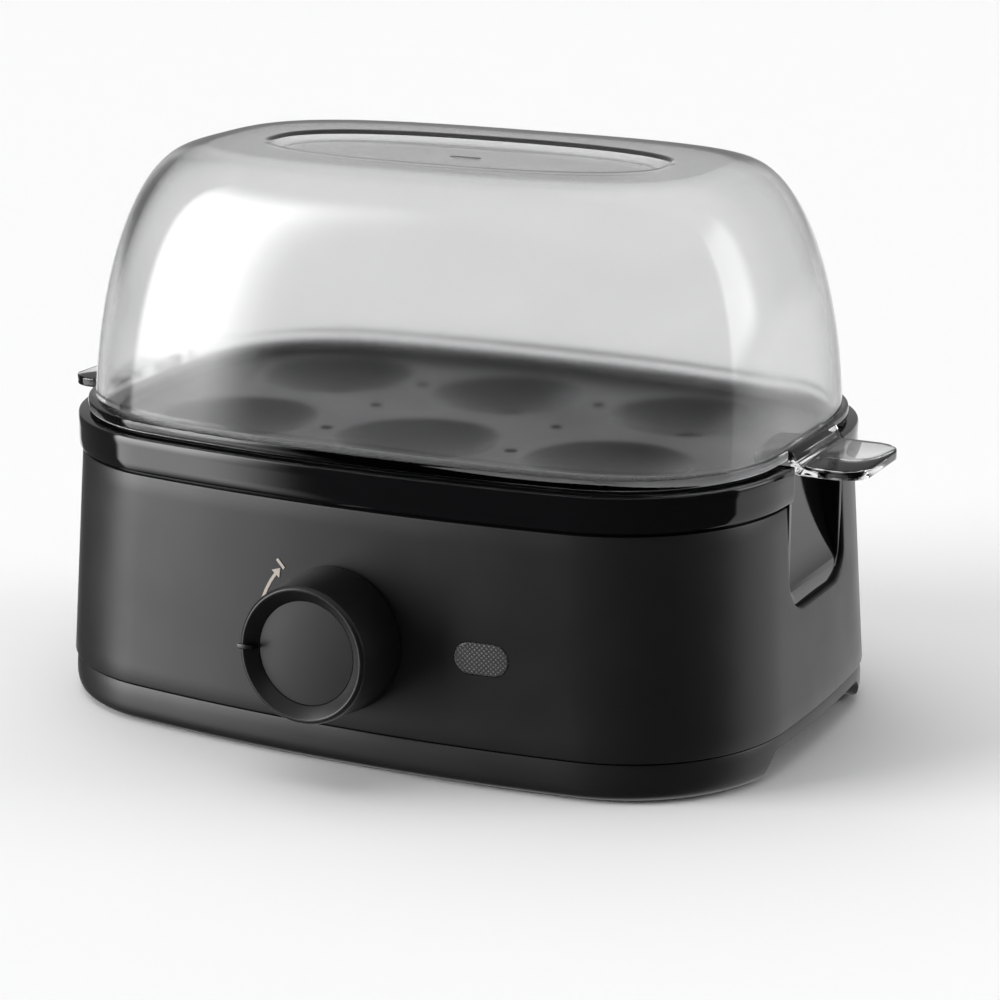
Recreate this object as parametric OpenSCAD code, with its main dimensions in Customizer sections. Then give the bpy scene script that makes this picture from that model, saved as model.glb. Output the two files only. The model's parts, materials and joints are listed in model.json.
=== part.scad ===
// Six-egg electric egg cooker.
// Origin: centre of the footprint, on the surface it stands on.
// +X runs along the length, the control side faces -Y, +Z is up.

/* [Body] */
// Length of the body at the seam above the base plate
body_length = 230; // [215:1:280]
// Depth of the body at the seam above the base plate
body_depth = 161; // [158:1:200]
// How much shorter the body is at its shoulder
length_taper = 8; // [4:1:12]
// How much shallower the body is at its shoulder
depth_taper = 6; // [3:1:9]
// Corner radius of the plan outline
corner_radius = 50; // [42:1:58]
// Radius of the bulge along the front and back
front_bow = 530; // [400:10:900]
// Radius of the bulge along the two ends
end_bow = 450; // [350:10:800]
// Height of the seam between the base plate and the housing
seam_height = 12; // [11:0.5:14]
// Height of the housing's shoulder, under the glossy collar
shoulder_height = 75; // [70:1:92]
// Wall thickness of the moulded covers
wall = 2.5; // [2:0.1:3.2]

/* [Collar] */
// Height of the glossy band
band_height = 10; // [9:0.5:14]
// Shadow gap between the housing and the band
band_gap = 1; // [0.6:0.1:1.5]
// How far the band stands out from the shoulder
band_proud = 1; // [0.4:0.1:1.6]
// Half width of the finger notch in each end
notch_half_width = 21.3; // [18:0.1:24]
// Depth of the finger notch below the shoulder
notch_depth = 30.8; // [25:0.1:34]
// Radius of the notch's lower corners
notch_radius = 9; // [6:0.5:12]
// How deep the finger recess is at its top
recess_depth = 8; // [6:0.5:8.5]

/* [Lid] */
// Height of the lid above its flange
lid_rise = 73.2; // [60:0.1:95]
// Wall thickness of the lid
lid_wall = 2.2; // [1.8:0.1:2.6]
// Thickness of the lid's flange and tabs
flange_thickness = 3; // [2.4:0.1:3.6]
// How far the lid's flange is set in from the band
flange_inset = 3; // [2:0.1:4]
// How far the dome's foot is set in from the band along the ends
dome_inset_x = 4.6; // [4:0.1:8]
// How far the dome's foot is set in from the band along the front
dome_inset_y = 10.2; // [8:0.1:14]
// How far each grip tab reaches out past the flange
tab_reach = 21.5; // [16:0.5:26]
// Half width of each grip tab
tab_half_width = 17.5; // [14:0.1:17.9]
// How far each grip tab drops below the flange
tab_drop = 4; // [3.5:0.1:6]
// Length of the steam slot in the lid's top
steam_slot_length = 10; // [6:1:16]

/* [Egg tray] */
// Distance between wells along the length
well_pitch_x = 60; // [56:0.5:64]
// Distance between wells across the depth
well_pitch_y = 60; // [54:0.5:62]
// Radius of each egg well at the tray's floor
well_radius = 24; // [20:0.5:26]
// Depth of each egg well
well_depth = 7; // [5:0.5:8]
// Thickness of the tray
tray_thickness = 1.4; // [1.2:0.1:2]
// Radius of the drain hole in each well
drain_radius = 5; // [3:0.5:7]
// Radius of each steam hole between the wells
steam_hole_radius = 2; // [1:0.25:3]

/* [Timer knob] */
// Height of the knob's axis on the front wall
knob_height = 37.7; // [36.5:0.1:45]
// Radius of the knob at its base
knob_base_radius = 20.7; // [17:0.1:23]
// Radius of the knob at its front rim
knob_rim_radius = 19.5; // [16:0.1:20]
// How far the knob stands out from the wall
knob_reach = 20.1; // [16:0.1:25]
// Radius of the timer's shaft
shaft_radius = 3; // [2.5:0.1:3.5]

/* [Indicator] */
// Distance of the indicator lamp from the knob's axis
lamp_offset = 44; // [36:0.5:60]
// Length of the lamp's window
lamp_length = 16; // [12:0.5:20]
// Height of the lamp's window
lamp_height = 9; // [7:0.5:11]

/* [Heating] */
// Radius of the heating dish
dish_radius = 50; // [42:0.5:51]
// Depth of the heating dish below its rim
dish_depth = 7; // [5:0.5:7.5]
// Radius of the ring that the tubular heating element follows
element_ring_radius = 35; // [30:0.5:38]
// Radius of the heating element's tube
element_tube_radius = 4; // [3:0.1:4.2]

/* [Base] */
// Radius of each foot
foot_radius = 9; // [6:0.5:11]
// Half width of the finger gap under each end, at its top
grip_half_width = 32; // [25:1:36]
// How far each end of the finger gap sweeps out on its way down
grip_sweep = 9; // [4:0.5:10]
// Radius of the mains cord's gland bore
gland_bore_radius = 3.3; // [2.5:0.1:4]

/* [Hidden] */

$fn = 64;
end_steps = 2;       // points along half an end, a corner and half the front
corner_steps = 8;
front_steps = 4;
eps = 0.01;
cut = 1;             // how far a cutting shape runs past the face it cuts
fit = 0.2;           // clearance between parts that slip together
running_fit = 0.05;  // radial clearance of a turning shaft
thread_fit = 0.05;   // radial clearance of a screw in its hole

// Plan outline
seam_a = body_length / 2;
seam_b = body_depth / 2;
shoulder_a = seam_a - length_taper / 2;
shoulder_b = seam_b - depth_taper / 2;

// Heights
skirt_bottom = 0.8;
floor_thickness = 2.5;
floor_top = skirt_bottom + floor_thickness;
band_bottom = shoulder_height + band_gap;
band_top = band_bottom + band_height;
tray_lip_thickness = 1;
flange_bottom = band_top + tray_lip_thickness;
flange_top = flange_bottom + flange_thickness;
lid_top = flange_top + lid_rise;

// Collar section, as distances in from the shoulder outline
band_wall = 2.5;
collar_wall = 2;
collar_bore = 9.5;           // inner face of the collar
seat_thickness = 2;
ledge_reach = 7;             // how far the basin's ledge reaches in from the collar's bore
ledge_top = band_bottom + 2;
register_outer = wall + 0.6; // the collar's skirt inside the housing
register_depth = 6;

// Tray
tray_inset = collar_bore + 0.8;
tray_floor_top = band_top - 2;
tray_floor_bottom = tray_floor_top - tray_thickness;
tray_lip_inset = 5;
well_sphere = (pow(well_radius, 2) + pow(well_depth, 2)) / (2 * well_depth);

// Basin and heating dish
basin_inset = collar_bore + ledge_reach + 0.7;
basin_wall = 2;
basin_flange_thickness = 1.5;
basin_floor_top = shoulder_height - 12;
basin_floor_bottom = basin_floor_top - basin_wall;
dish_wall = 1.2;
dish_rim = 6;
gasket_thickness = 1;
dish_rim_bottom = basin_floor_top + gasket_thickness;
dish_bottom = dish_rim_bottom - dish_depth + 1;
element_z = dish_bottom - element_tube_radius - fit;
stud_radius = 1.9;
stud_offset = 18;
bar_top = element_z - element_tube_radius;
bar_thickness = 2;
bar_width = 10;
bar_leg = 4;
nut_height = 3;
nut_radius = 3.8;
stud_bottom = bar_top - bar_thickness - nut_height - 1;
element_gap_angle = 50;
pin_radius = 1.6;
pin_top = bar_top - 6;
pin_length = 7;

knob_chamfer = 0.8;
gland_height = 24;
gland_reach = 3.2;
gland_lip_radius = gland_bore_radius + 3.8;

// Front wall frame: the wall leans back by this angle
lean = atan((seam_b - shoulder_b) / (shoulder_height - seam_height));

// The body's middle stands behind the origin, because the knob reaches further out than the gland
front_reach = knob_reach * cos(lean)
    + (knob_rim_radius - knob_chamfer - knob_height + seam_height) * sin(lean);
back_reach = gland_reach * cos(lean)
    + (gland_lip_radius - gland_height + seam_height) * sin(lean);
body_centre_y = (front_reach - back_reach) / 2;

// Fasteners
screw_radius = 1.5;
screw_head_radius = 3.2;
screw_head_height = 2;
boss_radius = 4.5;
base_screw_x = 70;
base_screw_y = seam_b - 15;
base_boss_bottom = 6.2;
base_boss_top = 30;
base_tower_radius = 6;
base_lip_top = seam_height + 3;
collar_screw_x = 40;
collar_screw_y = shoulder_b - 9.5;
collar_lug_height = 12;
collar_pad_bottom = shoulder_height - 20;
collar_pad_height = shoulder_height - collar_lug_height - fit - collar_pad_bottom;

// Feet
foot_x = seam_a - 30;
foot_y = seam_b - 27;
foot_height = 2.2;

// Finger gaps under the ends
grip_height = 8;
grip_inset = 12;

// Knob and timer, in the front wall's own frame: z runs outward
knob_gap = 0.8;
knob_land = 0.6;
knob_dish = 3;
disc_radius = knob_rim_radius * 0.755;
disc_thickness = 1;
pointer_width = 1.3;
timer_plate_half = 19;
timer_plate_thickness = 1.2;
timer_front_z = -8;
timer_back_z = -28;
pillar_offset = 16;
pillar_radius = 2;
timer_boss_x = 14;
timer_boss_radius = 3.5;
wall_bush_radius = shaft_radius + 2;
gear_module = 0.5;
wheel_teeth = 40;
pinion_teeth = 12;
second_wheel_teeth = 32;
gear_thickness = 2;
drive_gear_z = -13;
second_wheel_z = -16;
arbor_radius = 1.2;
arbor_length = timer_front_z - timer_back_z + timer_plate_thickness;
centre_distance = gear_module * (wheel_teeth + pinion_teeth) / 2;
second_distance = gear_module * (second_wheel_teeth + pinion_teeth) / 2;
train_angle = -60;
escape_angle = 180;
train_x = centre_distance * cos(train_angle);
train_y = centre_distance * sin(train_angle);
escape_x = train_x + second_distance * cos(escape_angle);
escape_y = train_y + second_distance * sin(escape_angle);
escape_teeth = 15;
escape_radius = 5;
escape_thickness = 1.2;
escape_z = -10.4;
drum_radius = 9;
drum_front_z = -19.5;
cam_radius = 6;
cam_z = -10.6;
cam_thickness = 1.4;
leaf_thickness = 0.4;

// Lamp, in the front wall's own frame at the lamp
lamp_z = knob_height;
lens_back = -wall - fit;
lens_flange = 1.6;
neon_radius = 2.9;
lens_proud = 0.3;

// Dial print
mark_radius = 25.5;
mark_width = 0.9;
mark_thickness = 0.15;
mark_start = 161;
mark_end = 141;
tick_angle = 134;
tick_length = 3.4;

// Gland and mains terminals
gland_neck_radius = gland_bore_radius + 2.7;
gland_flange_radius = gland_bore_radius + 5;
terminal_x = -40;
terminal_y = 48;
terminal_base = 3.5;

// Lid flange and dome
flange_a = shoulder_a + band_proud - flange_inset;
flange_b = shoulder_b + band_proud - flange_inset;
// Dome profile: fractions of the foot's half sizes and the curve's exponents
dome_a = shoulder_a + band_proud - dome_inset_x;
dome_b = shoulder_b + band_proud - dome_inset_y;
crown_a = dome_a * 0.737;
crown_b = dome_b * 0.573;
dome_power_x = [2.03, 2.11];
dome_power_y = [1.2, 3.18];
outline_power_foot = 3.77;
outline_power_crown = 3.2;
dome_rings = 14;
dish_in_lid_depth = 2.2;
dish_in_lid_a = crown_a * 0.8;
dish_in_lid_b = crown_b * 0.66;

// Points along an arc
function arc(cx, cy, r, from, to, steps) =
    [for (i = [0 : steps]) let (t = from + (to - from) * i / steps) [cx + r * cos(t), cy + r * sin(t)]];

// Centre of the corner arc that is tangent to the front bow and the end bow
function corner_centre(a, b, r, front, end) =
    let (
        base_y = b - front,
        base_x = a - end,
        r0 = front - r,
        r1 = end - r,
        d = norm([base_x, base_y]),
        along = (r0 * r0 - r1 * r1 + d * d) / (2 * d),
        off = sqrt(r0 * r0 - along * along)
    )
    [along * base_x / d - off * base_y / d, base_y - along * base_y / d - off * base_x / d];

// First quadrant of the plan outline, from the X axis to the Y axis
function quadrant(a, b, r, front, end) =
    let (
        c = corner_centre(a, b, r, front, end),
        end_angle = atan2(c[1], c[0] - (a - end)),
        front_angle = atan2(c[1] - (b - front), c[0]),
        corner = arc(c[0], c[1], r, end_angle, front_angle, corner_steps),
        bow = arc(0, b - front, front, front_angle, 90, front_steps)
    )
    concat(
        arc(a - end, 0, end, 0, end_angle, end_steps),
        [for (i = [1 : corner_steps]) corner[i]],
        [for (i = [1 : front_steps]) bow[i]]
    );

function outline(a, b, inset = 0) =
    let (
        q = quadrant(a - inset, b - inset, corner_radius - inset, front_bow - inset, end_bow - inset),
        n = len(q) - 1
    )
    concat(
        q,
        [for (i = [1 : n]) [-q[n - i][0], q[n - i][1]]],
        [for (i = [1 : n]) [-q[i][0], -q[i][1]]],
        [for (i = [1 : n - 1]) [q[n - i][0], -q[n - i][1]]]
    );

// Carries a piece from the body's middle to its place over the origin
module placed() {
    translate([0, body_centre_y, 0])
        children();
}

// Upright slab of the shoulder outline
module slab(z, height, inset = 0) {
    translate([0, 0, z])
        linear_extrude(height)
            polygon(outline(shoulder_a, shoulder_b, inset));
}

// Upright ring between two insets of the shoulder outline
module ring(z, height, outer, inner) {
    difference() {
        slab(z, height, outer);
        slab(z - cut, height + 2 * cut, inner);
    }
}

module seam_slab(z, height, inset = 0) {
    translate([0, 0, z])
        linear_extrude(height)
            polygon(outline(seam_a, seam_b, inset));
}

// The tapered body between the seam and the shoulder, grown past both ends by "over"
module tapered_body(inset, over) {
    hull() {
        seam_slab(seam_height - over, over + eps, inset);
        slab(shoulder_height - eps, over + eps, inset);
    }
}

// Depth of the wall at a height and a distance along it
function wall_y(x, z) =
    seam_b - (z - seam_height) * tan(lean) - front_bow + sqrt(front_bow * front_bow - x * x);

// Puts a child on the front wall: its z axis points out of the wall, its y axis up the wall
module on_front(x, z) {
    translate([x, -wall_y(x, z), z])
        rotate([0, 0, asin(x / front_bow)])
            rotate([90 - lean, 0, 0])
                children();
}

module on_back(x, z) {
    rotate([0, 0, 180])
        on_front(-x, z)
            children();
}

module at_four(x, y) {
    for (sx = [-1, 1], sy = [-1, 1])
        translate([sx * x, sy * y, 0])
            children();
}

// A flat pill, long way along x
module pill(length, height, thickness) {
    linear_extrude(thickness)
        union() {
            square([length - height, height], center = true);
            for (side = [-1, 1])
                translate([side * (length - height) / 2, 0])
                    circle(d = height);
        }
}

// A rod from one point to another
module rod(from, to, r) {
    d = to - from;
    translate(from)
        rotate([0, acos(d[2] / norm(d)), atan2(d[1], d[0])])
            cylinder(h = norm(d), r = r, $fn = 24);
}

// A lead bent at round corners through a list of points
module lead(points, r) {
    for (i = [0 : len(points) - 2])
        rod(points[i], points[i + 1], r);
    for (i = [1 : len(points) - 2])
        translate(points[i])
            sphere(r = r * 1.12, $fn = 24);
}

// The U shape of the finger notch, as a prism along X
module notch_prism(half_width, bottom, radius, from_x, to_x) {
    top = band_top + 2 * cut;
    translate([from_x, 0, 0])
        rotate([90, 0, 90])
            linear_extrude(to_x - from_x)
                union() {
                    translate([-half_width, bottom + radius])
                        square([2 * half_width, top - bottom - radius]);
                    translate([radius - half_width, bottom])
                        square([2 * (half_width - radius), radius + eps]);
                    for (side = [-1, 1])
                        translate([side * (half_width - radius), bottom + radius])
                            circle(r = radius);
                }
}

// ---------- housing ----------

notch_bottom = shoulder_height - notch_depth;

module inner_bosses() {
    // posts for the base plate's screws, joined to the front and back walls
    for (sx = [-1, 1], sy = [-1, 1]) {
        translate([sx * base_screw_x, sy * base_screw_y, base_boss_bottom])
            cylinder(h = base_boss_top - base_boss_bottom, r = boss_radius);
        translate([sx * base_screw_x - wall / 2, min(sy * base_screw_y, sy * seam_b), base_lip_top + fit])
            cube([wall, seam_b - base_screw_y, base_boss_top - base_lip_top - fit]);
    }
    // pads that the collar's lugs are screwed to
    for (sx = [-1, 1], sy = [-1, 1]) {
        translate([sx * collar_screw_x, sy * collar_screw_y, collar_pad_bottom])
            cylinder(h = collar_pad_height, r = boss_radius);
        translate([sx * collar_screw_x - wall / 2, min(sy * collar_screw_y, sy * seam_b), collar_pad_bottom])
            cube([wall, seam_b - collar_screw_y, collar_pad_height]);
    }
    // pads for the timer
    on_front(0, knob_height)
        for (side = [-1, 1])
            translate([side * timer_boss_x, 0, timer_front_z])
                cylinder(h = -timer_front_z, r = timer_boss_radius);
}

module housing() {
    color([0.11, 0.11, 0.115])
        placed()
            difference() {
                union() {
                    difference() {
                        tapered_body(0, 0);
                        tapered_body(wall, cut);
                    }
                    intersection() {
                        tapered_body(wall / 2, 0);
                        inner_bosses();
                    }
                }
                for (side = [0, 180])
                    rotate([0, 0, side])
                        notch_prism(notch_half_width, notch_bottom, notch_radius, seam_a - 16, seam_a + cut);
                on_front(0, knob_height)
                    translate([0, 0, -wall - cut])
                        cylinder(h = wall + 2 * cut, r = wall_bush_radius);
                on_front(0, knob_height)
                    for (side = [-1, 1])
                        translate([side * timer_boss_x, 0, timer_front_z - cut])
                            cylinder(h = 6, r = screw_radius + thread_fit, $fn = 24);
                on_front(lamp_offset, lamp_z)
                    translate([0, 0, -wall - cut])
                        pill(lamp_length + fit, lamp_height + fit, wall + 2 * cut);
                on_back(0, gland_height)
                    translate([0, 0, -wall - cut])
                        cylinder(h = wall + 2 * cut, r = gland_neck_radius + fit);
                at_four(base_screw_x, base_screw_y)
                    translate([0, 0, base_boss_bottom - cut])
                        cylinder(h = 14, r = screw_radius + thread_fit, $fn = 24);
                at_four(collar_screw_x, collar_screw_y)
                    translate([0, 0, collar_pad_bottom - cut])
                        cylinder(h = collar_pad_height + 2 * cut, r = screw_radius + fit, $fn = 24);
            }
}

// ---------- collar with its two finger recesses ----------

recess_wall = 2;
recess_fit = 0.3;
recess_back_x = shoulder_a + band_proud - recess_depth;
recess_foot_x = shoulder_a + 0.7;
recess_drop = band_top - notch_bottom - recess_wall;
recess_rise = recess_foot_x - recess_back_x;
recess_radius = (recess_drop * recess_drop + recess_rise * recess_rise) / (2 * recess_rise);

module recess_curve(extra) {
    translate([recess_back_x + recess_radius, 0, band_top])
        rotate([90, 0, 0])
            cylinder(h = 3 * notch_half_width, r = recess_radius + extra, center = true, $fn = 128);
}

module recess_hollow() {
    intersection() {
        notch_prism(notch_half_width - recess_fit - recess_wall, notch_bottom + recess_fit + recess_wall,
            notch_radius - recess_wall, seam_a - 20, seam_a + 2 * cut);
        recess_curve(0);
    }
}

module recess_shell() {
    intersection() {
        notch_prism(notch_half_width - recess_fit, notch_bottom + recess_fit, notch_radius, seam_a - 20,
            seam_a + cut);
        recess_curve(recess_wall);
        slab(0, band_top, -0.3);
    }
}

module rim_collar() {
    color([0.03, 0.03, 0.035])
        placed()
            difference() {
                union() {
                    difference() {
                        union() {
                            slab(band_bottom, band_height, -band_proud);
                            slab(shoulder_height, band_gap + cut, band_wall - band_proud);
                            slab(shoulder_height - register_depth, register_depth + cut, register_outer);
                        }
                        slab(shoulder_height - register_depth - cut, register_depth + band_height - cut,
                            register_outer + collar_wall);
                        slab(shoulder_height, 2 * band_height, collar_bore);
                    }
                    ring(ledge_top - 2, 2, register_outer + collar_wall - eps, collar_bore + ledge_reach);
                    at_four(collar_screw_x, collar_screw_y)
                        translate([0, 0, shoulder_height - collar_lug_height])
                            cylinder(h = collar_lug_height + band_gap + cut, r = boss_radius - 1);
                    for (side = [0, 180])
                        rotate([0, 0, side])
                            recess_shell();
                }
                for (side = [0, 180])
                    rotate([0, 0, side])
                        recess_hollow();
                at_four(collar_screw_x, collar_screw_y)
                    translate([0, 0, shoulder_height - collar_lug_height - cut])
                        cylinder(h = 9, r = screw_radius + thread_fit, $fn = 24);
            }
}

module collar_screws() {
    color("silver")
        placed()
            at_four(collar_screw_x, collar_screw_y) {
                translate([0, 0, collar_pad_bottom - screw_head_height])
                    cylinder(h = screw_head_height, r = screw_head_radius);
                translate([0, 0, collar_pad_bottom - eps])
                    cylinder(h = 14, r = screw_radius, $fn = 24);
            }
}

// ---------- water basin and heating ----------

module water_basin() {
    color([0.08, 0.08, 0.085])
        placed()
            difference() {
                union() {
                    slab(ledge_top, basin_flange_thickness, collar_bore + 0.6);
                    slab(basin_floor_bottom, ledge_top - basin_floor_bottom + eps, basin_inset);
                }
                slab(basin_floor_top, 30, basin_inset + basin_wall);
                translate([0, 0, basin_floor_bottom - cut])
                    cylinder(h = basin_wall + 2 * cut, r = dish_radius + 1.2, $fn = 128);
            }
}

module basin_gasket() {
    color([0.3, 0.1, 0.08])
        placed()
            translate([0, 0, basin_floor_top])
                difference() {
                    cylinder(h = gasket_thickness, r = dish_radius + dish_rim, $fn = 128);
                    translate([0, 0, -cut])
                        cylinder(h = gasket_thickness + 2 * cut, r = dish_radius + 1.2, $fn = 128);
                }
}

module heating_dish() {
    color([0.75, 0.75, 0.77])
        placed()
            union() {
                rotate_extrude($fn = 128)
                    polygon([
                        [0, dish_bottom],
                        [dish_radius, dish_bottom],
                        [dish_radius, dish_rim_bottom],
                        [dish_radius + dish_rim, dish_rim_bottom],
                        [dish_radius + dish_rim, dish_rim_bottom + dish_wall],
                        [dish_radius - dish_wall, dish_rim_bottom + dish_wall],
                        [dish_radius - dish_wall, dish_bottom + dish_wall],
                        [0, dish_bottom + dish_wall],
                    ]);
                for (side = [-1, 1])
                    translate([side * stud_offset, 0, stud_bottom])
                        cylinder(h = dish_bottom - stud_bottom + dish_wall / 2, r = stud_radius, $fn = 32);
            }
}

module heating_element() {
    half_gap = element_gap_angle / 2;
    color([0.45, 0.45, 0.47])
        placed()
            union() {
                translate([0, 0, element_z])
                    rotate([0, 0, 90 + half_gap])
                        rotate_extrude(angle = 360 - element_gap_angle, $fn = 96)
                            translate([element_ring_radius, 0])
                                circle(r = element_tube_radius, $fn = 32);
                for (side = [-1, 1])
                    rotate([0, 0, 90 + side * half_gap])
                        translate([element_ring_radius, 0, pin_top])
                            cylinder(h = element_z + 1 - pin_top, r = element_tube_radius - 0.7, $fn = 32);
            }
}

module element_pins() {
    color("silver")
        placed()
            for (side = [-1, 1])
                rotate([0, 0, 90 + side * element_gap_angle / 2])
                    translate([element_ring_radius, 0, pin_top - pin_length])
                        cylinder(h = pin_length, r = pin_radius, $fn = 24);
}

module clamp_bar() {
    leg_x = dish_radius + 2.5;
    color([0.7, 0.7, 0.72])
        placed()
            difference() {
                union() {
                    translate([-leg_x - bar_leg, -bar_width / 2, bar_top - bar_thickness])
                        cube([2 * (leg_x + bar_leg), bar_width, bar_thickness]);
                    for (side = [-1, 1])
                        translate([side * (leg_x + bar_leg / 2) - bar_leg / 2, -bar_width / 2,
                            bar_top - bar_thickness])
                            cube([bar_leg, bar_width, basin_floor_bottom - bar_top + bar_thickness]);
                }
                for (side = [-1, 1])
                    translate([side * stud_offset, 0, bar_top - bar_thickness - cut])
                        cylinder(h = bar_thickness + 2 * cut, r = stud_radius + fit, $fn = 32);
            }
}

module clamp_nuts() {
    color("silver")
        placed()
            for (side = [-1, 1])
                translate([side * stud_offset, 0, bar_top - bar_thickness - nut_height])
                    difference() {
                        cylinder(h = nut_height, r = nut_radius, $fn = 6);
                        translate([0, 0, -cut])
                            cylinder(h = nut_height + 2 * cut, r = stud_radius + thread_fit, $fn = 32);
                    }
}

thermostat_height = 5;

module thermostat() {
    color([0.6, 0.55, 0.5])
        placed()
            union() {
                translate([0, 0, dish_bottom - thermostat_height])
                    cylinder(h = thermostat_height, r = 9);
                for (side = [-1, 1])
                    translate([-3, side * 11.5 - 3.5, dish_bottom - thermostat_height + 1])
                        cube([6, 7, 0.8]);
            }
}

module thermostat_washer() {
    color([0.72, 0.72, 0.74])
        placed()
            translate([0, 0, bar_top])
                difference() {
                    cylinder(h = dish_bottom - thermostat_height - bar_top, r = 5);
                    translate([0, 0, -cut])
                        cylinder(h = 10, r = 3);
                }
}

fuse_radius = 1.9;
fuse_length = 12;
fuse_y = -22;
fuse_z = dish_bottom - 3.2;

module thermal_fuse() {
    color([0.75, 0.7, 0.6])
        placed()
            translate([-fuse_length / 2, fuse_y, fuse_z])
                rotate([0, 90, 0])
                    cylinder(h = fuse_length, r = fuse_radius, $fn = 32);
}

module fuse_sleeve() {
    color([0.85, 0.85, 0.8])
        placed()
            translate([-fuse_length, fuse_y, fuse_z])
                rotate([0, 90, 0])
                    difference() {
                        cylinder(h = 2 * fuse_length, r = fuse_radius + 0.9, $fn = 32);
                        translate([0, 0, -cut])
                            cylinder(h = 2 * fuse_length + 2 * cut, r = fuse_radius + fit, $fn = 32);
                    }
}

// ---------- base plate ----------

module skirt_body() {
    hull() {
        seam_slab(seam_height - 0.6, 0.1, 0.7);
        seam_slab(skirt_bottom + 4, 0.1, 0.3);
        seam_slab(skirt_bottom + 1.2, 0.1, 0.9);
        seam_slab(skirt_bottom, 0.1, 2.2);
    }
}

// The finger gap under one end, or with "grow" the walls around it
module grip_block(side, grow) {
    reach = grip_inset + grow + cut;
    steps = 8;
    // one swept end, from the bottom up
    sweep = [for (i = [0 : steps]) let (t = i / steps)
        [grip_half_width + grow + grip_sweep * (1 - t), (grip_height + grow) * t * t * (3 - 2 * t)]];
    translate([side * (seam_a - grip_inset - grow + reach / 2) - reach / 2, 0, 0])
        rotate([90, 0, 90])
            linear_extrude(reach)
                polygon(concat(sweep, [for (i = [0 : steps]) [-sweep[steps - i][0], sweep[steps - i][1]]]));
}

module base_plate() {
    color([0.1, 0.1, 0.105])
        placed()
            difference() {
                union() {
                    difference() {
                        skirt_body();
                        seam_slab(floor_top, seam_height, 3);
                    }
                    difference() {
                        seam_slab(floor_top - cut, base_lip_top - floor_top + cut, wall + 0.5);
                        seam_slab(floor_top - 2 * cut, seam_height + 3 * cut, wall + 2.3);
                    }
                    intersection() {
                        seam_slab(skirt_bottom + 1, grip_height, 2);
                        for (side = [-1, 1])
                            grip_block(side, 2);
                    }
                    at_four(base_screw_x, base_screw_y)
                        translate([0, 0, skirt_bottom + 1])
                            cylinder(h = base_boss_bottom - skirt_bottom - 1, r = base_tower_radius);
                }
                for (side = [-1, 1])
                    grip_block(side, 0);
                at_four(foot_x, foot_y)
                    cylinder(h = foot_height, r = foot_radius + fit);
                at_four(base_screw_x, base_screw_y) {
                    cylinder(h = base_boss_bottom - 2.2, r = screw_head_radius + 0.4);
                    cylinder(h = base_boss_bottom + cut, r = screw_radius + fit, $fn = 24);
                }
                for (i = [-3 : 3])
                    translate([i * 12 - 1.5, -14, 0])
                        cube([3, 28, floor_top + cut]);
            }
}

module feet() {
    color([0.06, 0.06, 0.06])
        placed()
            at_four(foot_x, foot_y)
                cylinder(h = foot_height, r = foot_radius);
}

module base_screws() {
    head_top = base_boss_bottom - 2.2;
    color("silver")
        placed()
            at_four(base_screw_x, base_screw_y) {
                translate([0, 0, head_top - screw_head_height])
                    cylinder(h = screw_head_height, r = screw_head_radius);
                translate([0, 0, head_top - eps])
                    cylinder(h = 12, r = screw_radius, $fn = 24);
            }
}

// ---------- timer ----------

module on_knob() {
    on_front(0, knob_height)
        children();
}

module timer_plate(z) {
    translate([-timer_plate_half, -timer_plate_half, z - timer_plate_thickness])
        cube([2 * timer_plate_half, 2 * timer_plate_half, timer_plate_thickness]);
}

module arbor_holes(z) {
    translate([train_x, train_y, z])
        cylinder(h = 4, r = arbor_radius + running_fit, center = true, $fn = 32);
    translate([escape_x, escape_y, z])
        cylinder(h = 4, r = arbor_radius + running_fit, center = true, $fn = 32);
}

module timer_front_plate() {
    color([0.78, 0.76, 0.7])
        placed()
            on_knob()
                difference() {
                    timer_plate(timer_front_z);
                    translate([0, 0, timer_front_z])
                        cylinder(h = 4, r = shaft_radius + running_fit, center = true);
                    arbor_holes(timer_front_z);
                    for (side = [-1, 1])
                        translate([side * timer_boss_x, 0, timer_front_z])
                            cylinder(h = 4, r = screw_radius + fit, center = true, $fn = 24);
                }
}

module timer_back_plate() {
    color([0.78, 0.76, 0.7])
        placed()
            on_knob()
                difference() {
                    timer_plate(timer_back_z);
                    translate([0, 0, timer_back_z])
                        cylinder(h = 4, r = shaft_radius + running_fit, center = true);
                    arbor_holes(timer_back_z);
                }
}

module timer_pillars() {
    length = timer_front_z - timer_plate_thickness - timer_back_z;
    color([0.8, 0.7, 0.4])
        placed()
            on_knob()
                for (sx = [-1, 1], sy = [-1, 1])
                    translate([sx * pillar_offset, sy * pillar_offset, timer_back_z])
                        cylinder(h = length, r = pillar_radius, $fn = 32);
}

module timer_screws() {
    head_top = timer_front_z - timer_plate_thickness;
    color("silver")
        placed()
            on_knob()
                for (side = [-1, 1])
                    translate([side * timer_boss_x, 0, 0]) {
                        translate([0, 0, head_top - 1.4])
                            cylinder(h = 1.4, r = 2.6);
                        translate([0, 0, head_top - eps])
                            cylinder(h = 5.5, r = screw_radius, $fn = 24);
                    }
}

module mainspring_drum() {
    depth = drum_front_z - timer_back_z;
    color([0.7, 0.62, 0.4])
        placed()
            on_knob()
                translate([0, 0, timer_back_z])
                    difference() {
                        cylinder(h = depth, r = drum_radius);
                        translate([0, 0, 1])
                            cylinder(h = depth - 2, r = drum_radius - 1);
                        translate([0, 0, -cut])
                            cylinder(h = depth + 2 * cut, r = shaft_radius + 0.4);
                    }
}

module switch_block() {
    color([0.55, 0.3, 0.15])
        placed()
            on_knob()
                translate([-4, timer_plate_half - 6, timer_front_z - timer_plate_thickness - 5])
                    cube([8, 5, 5]);
}

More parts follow.
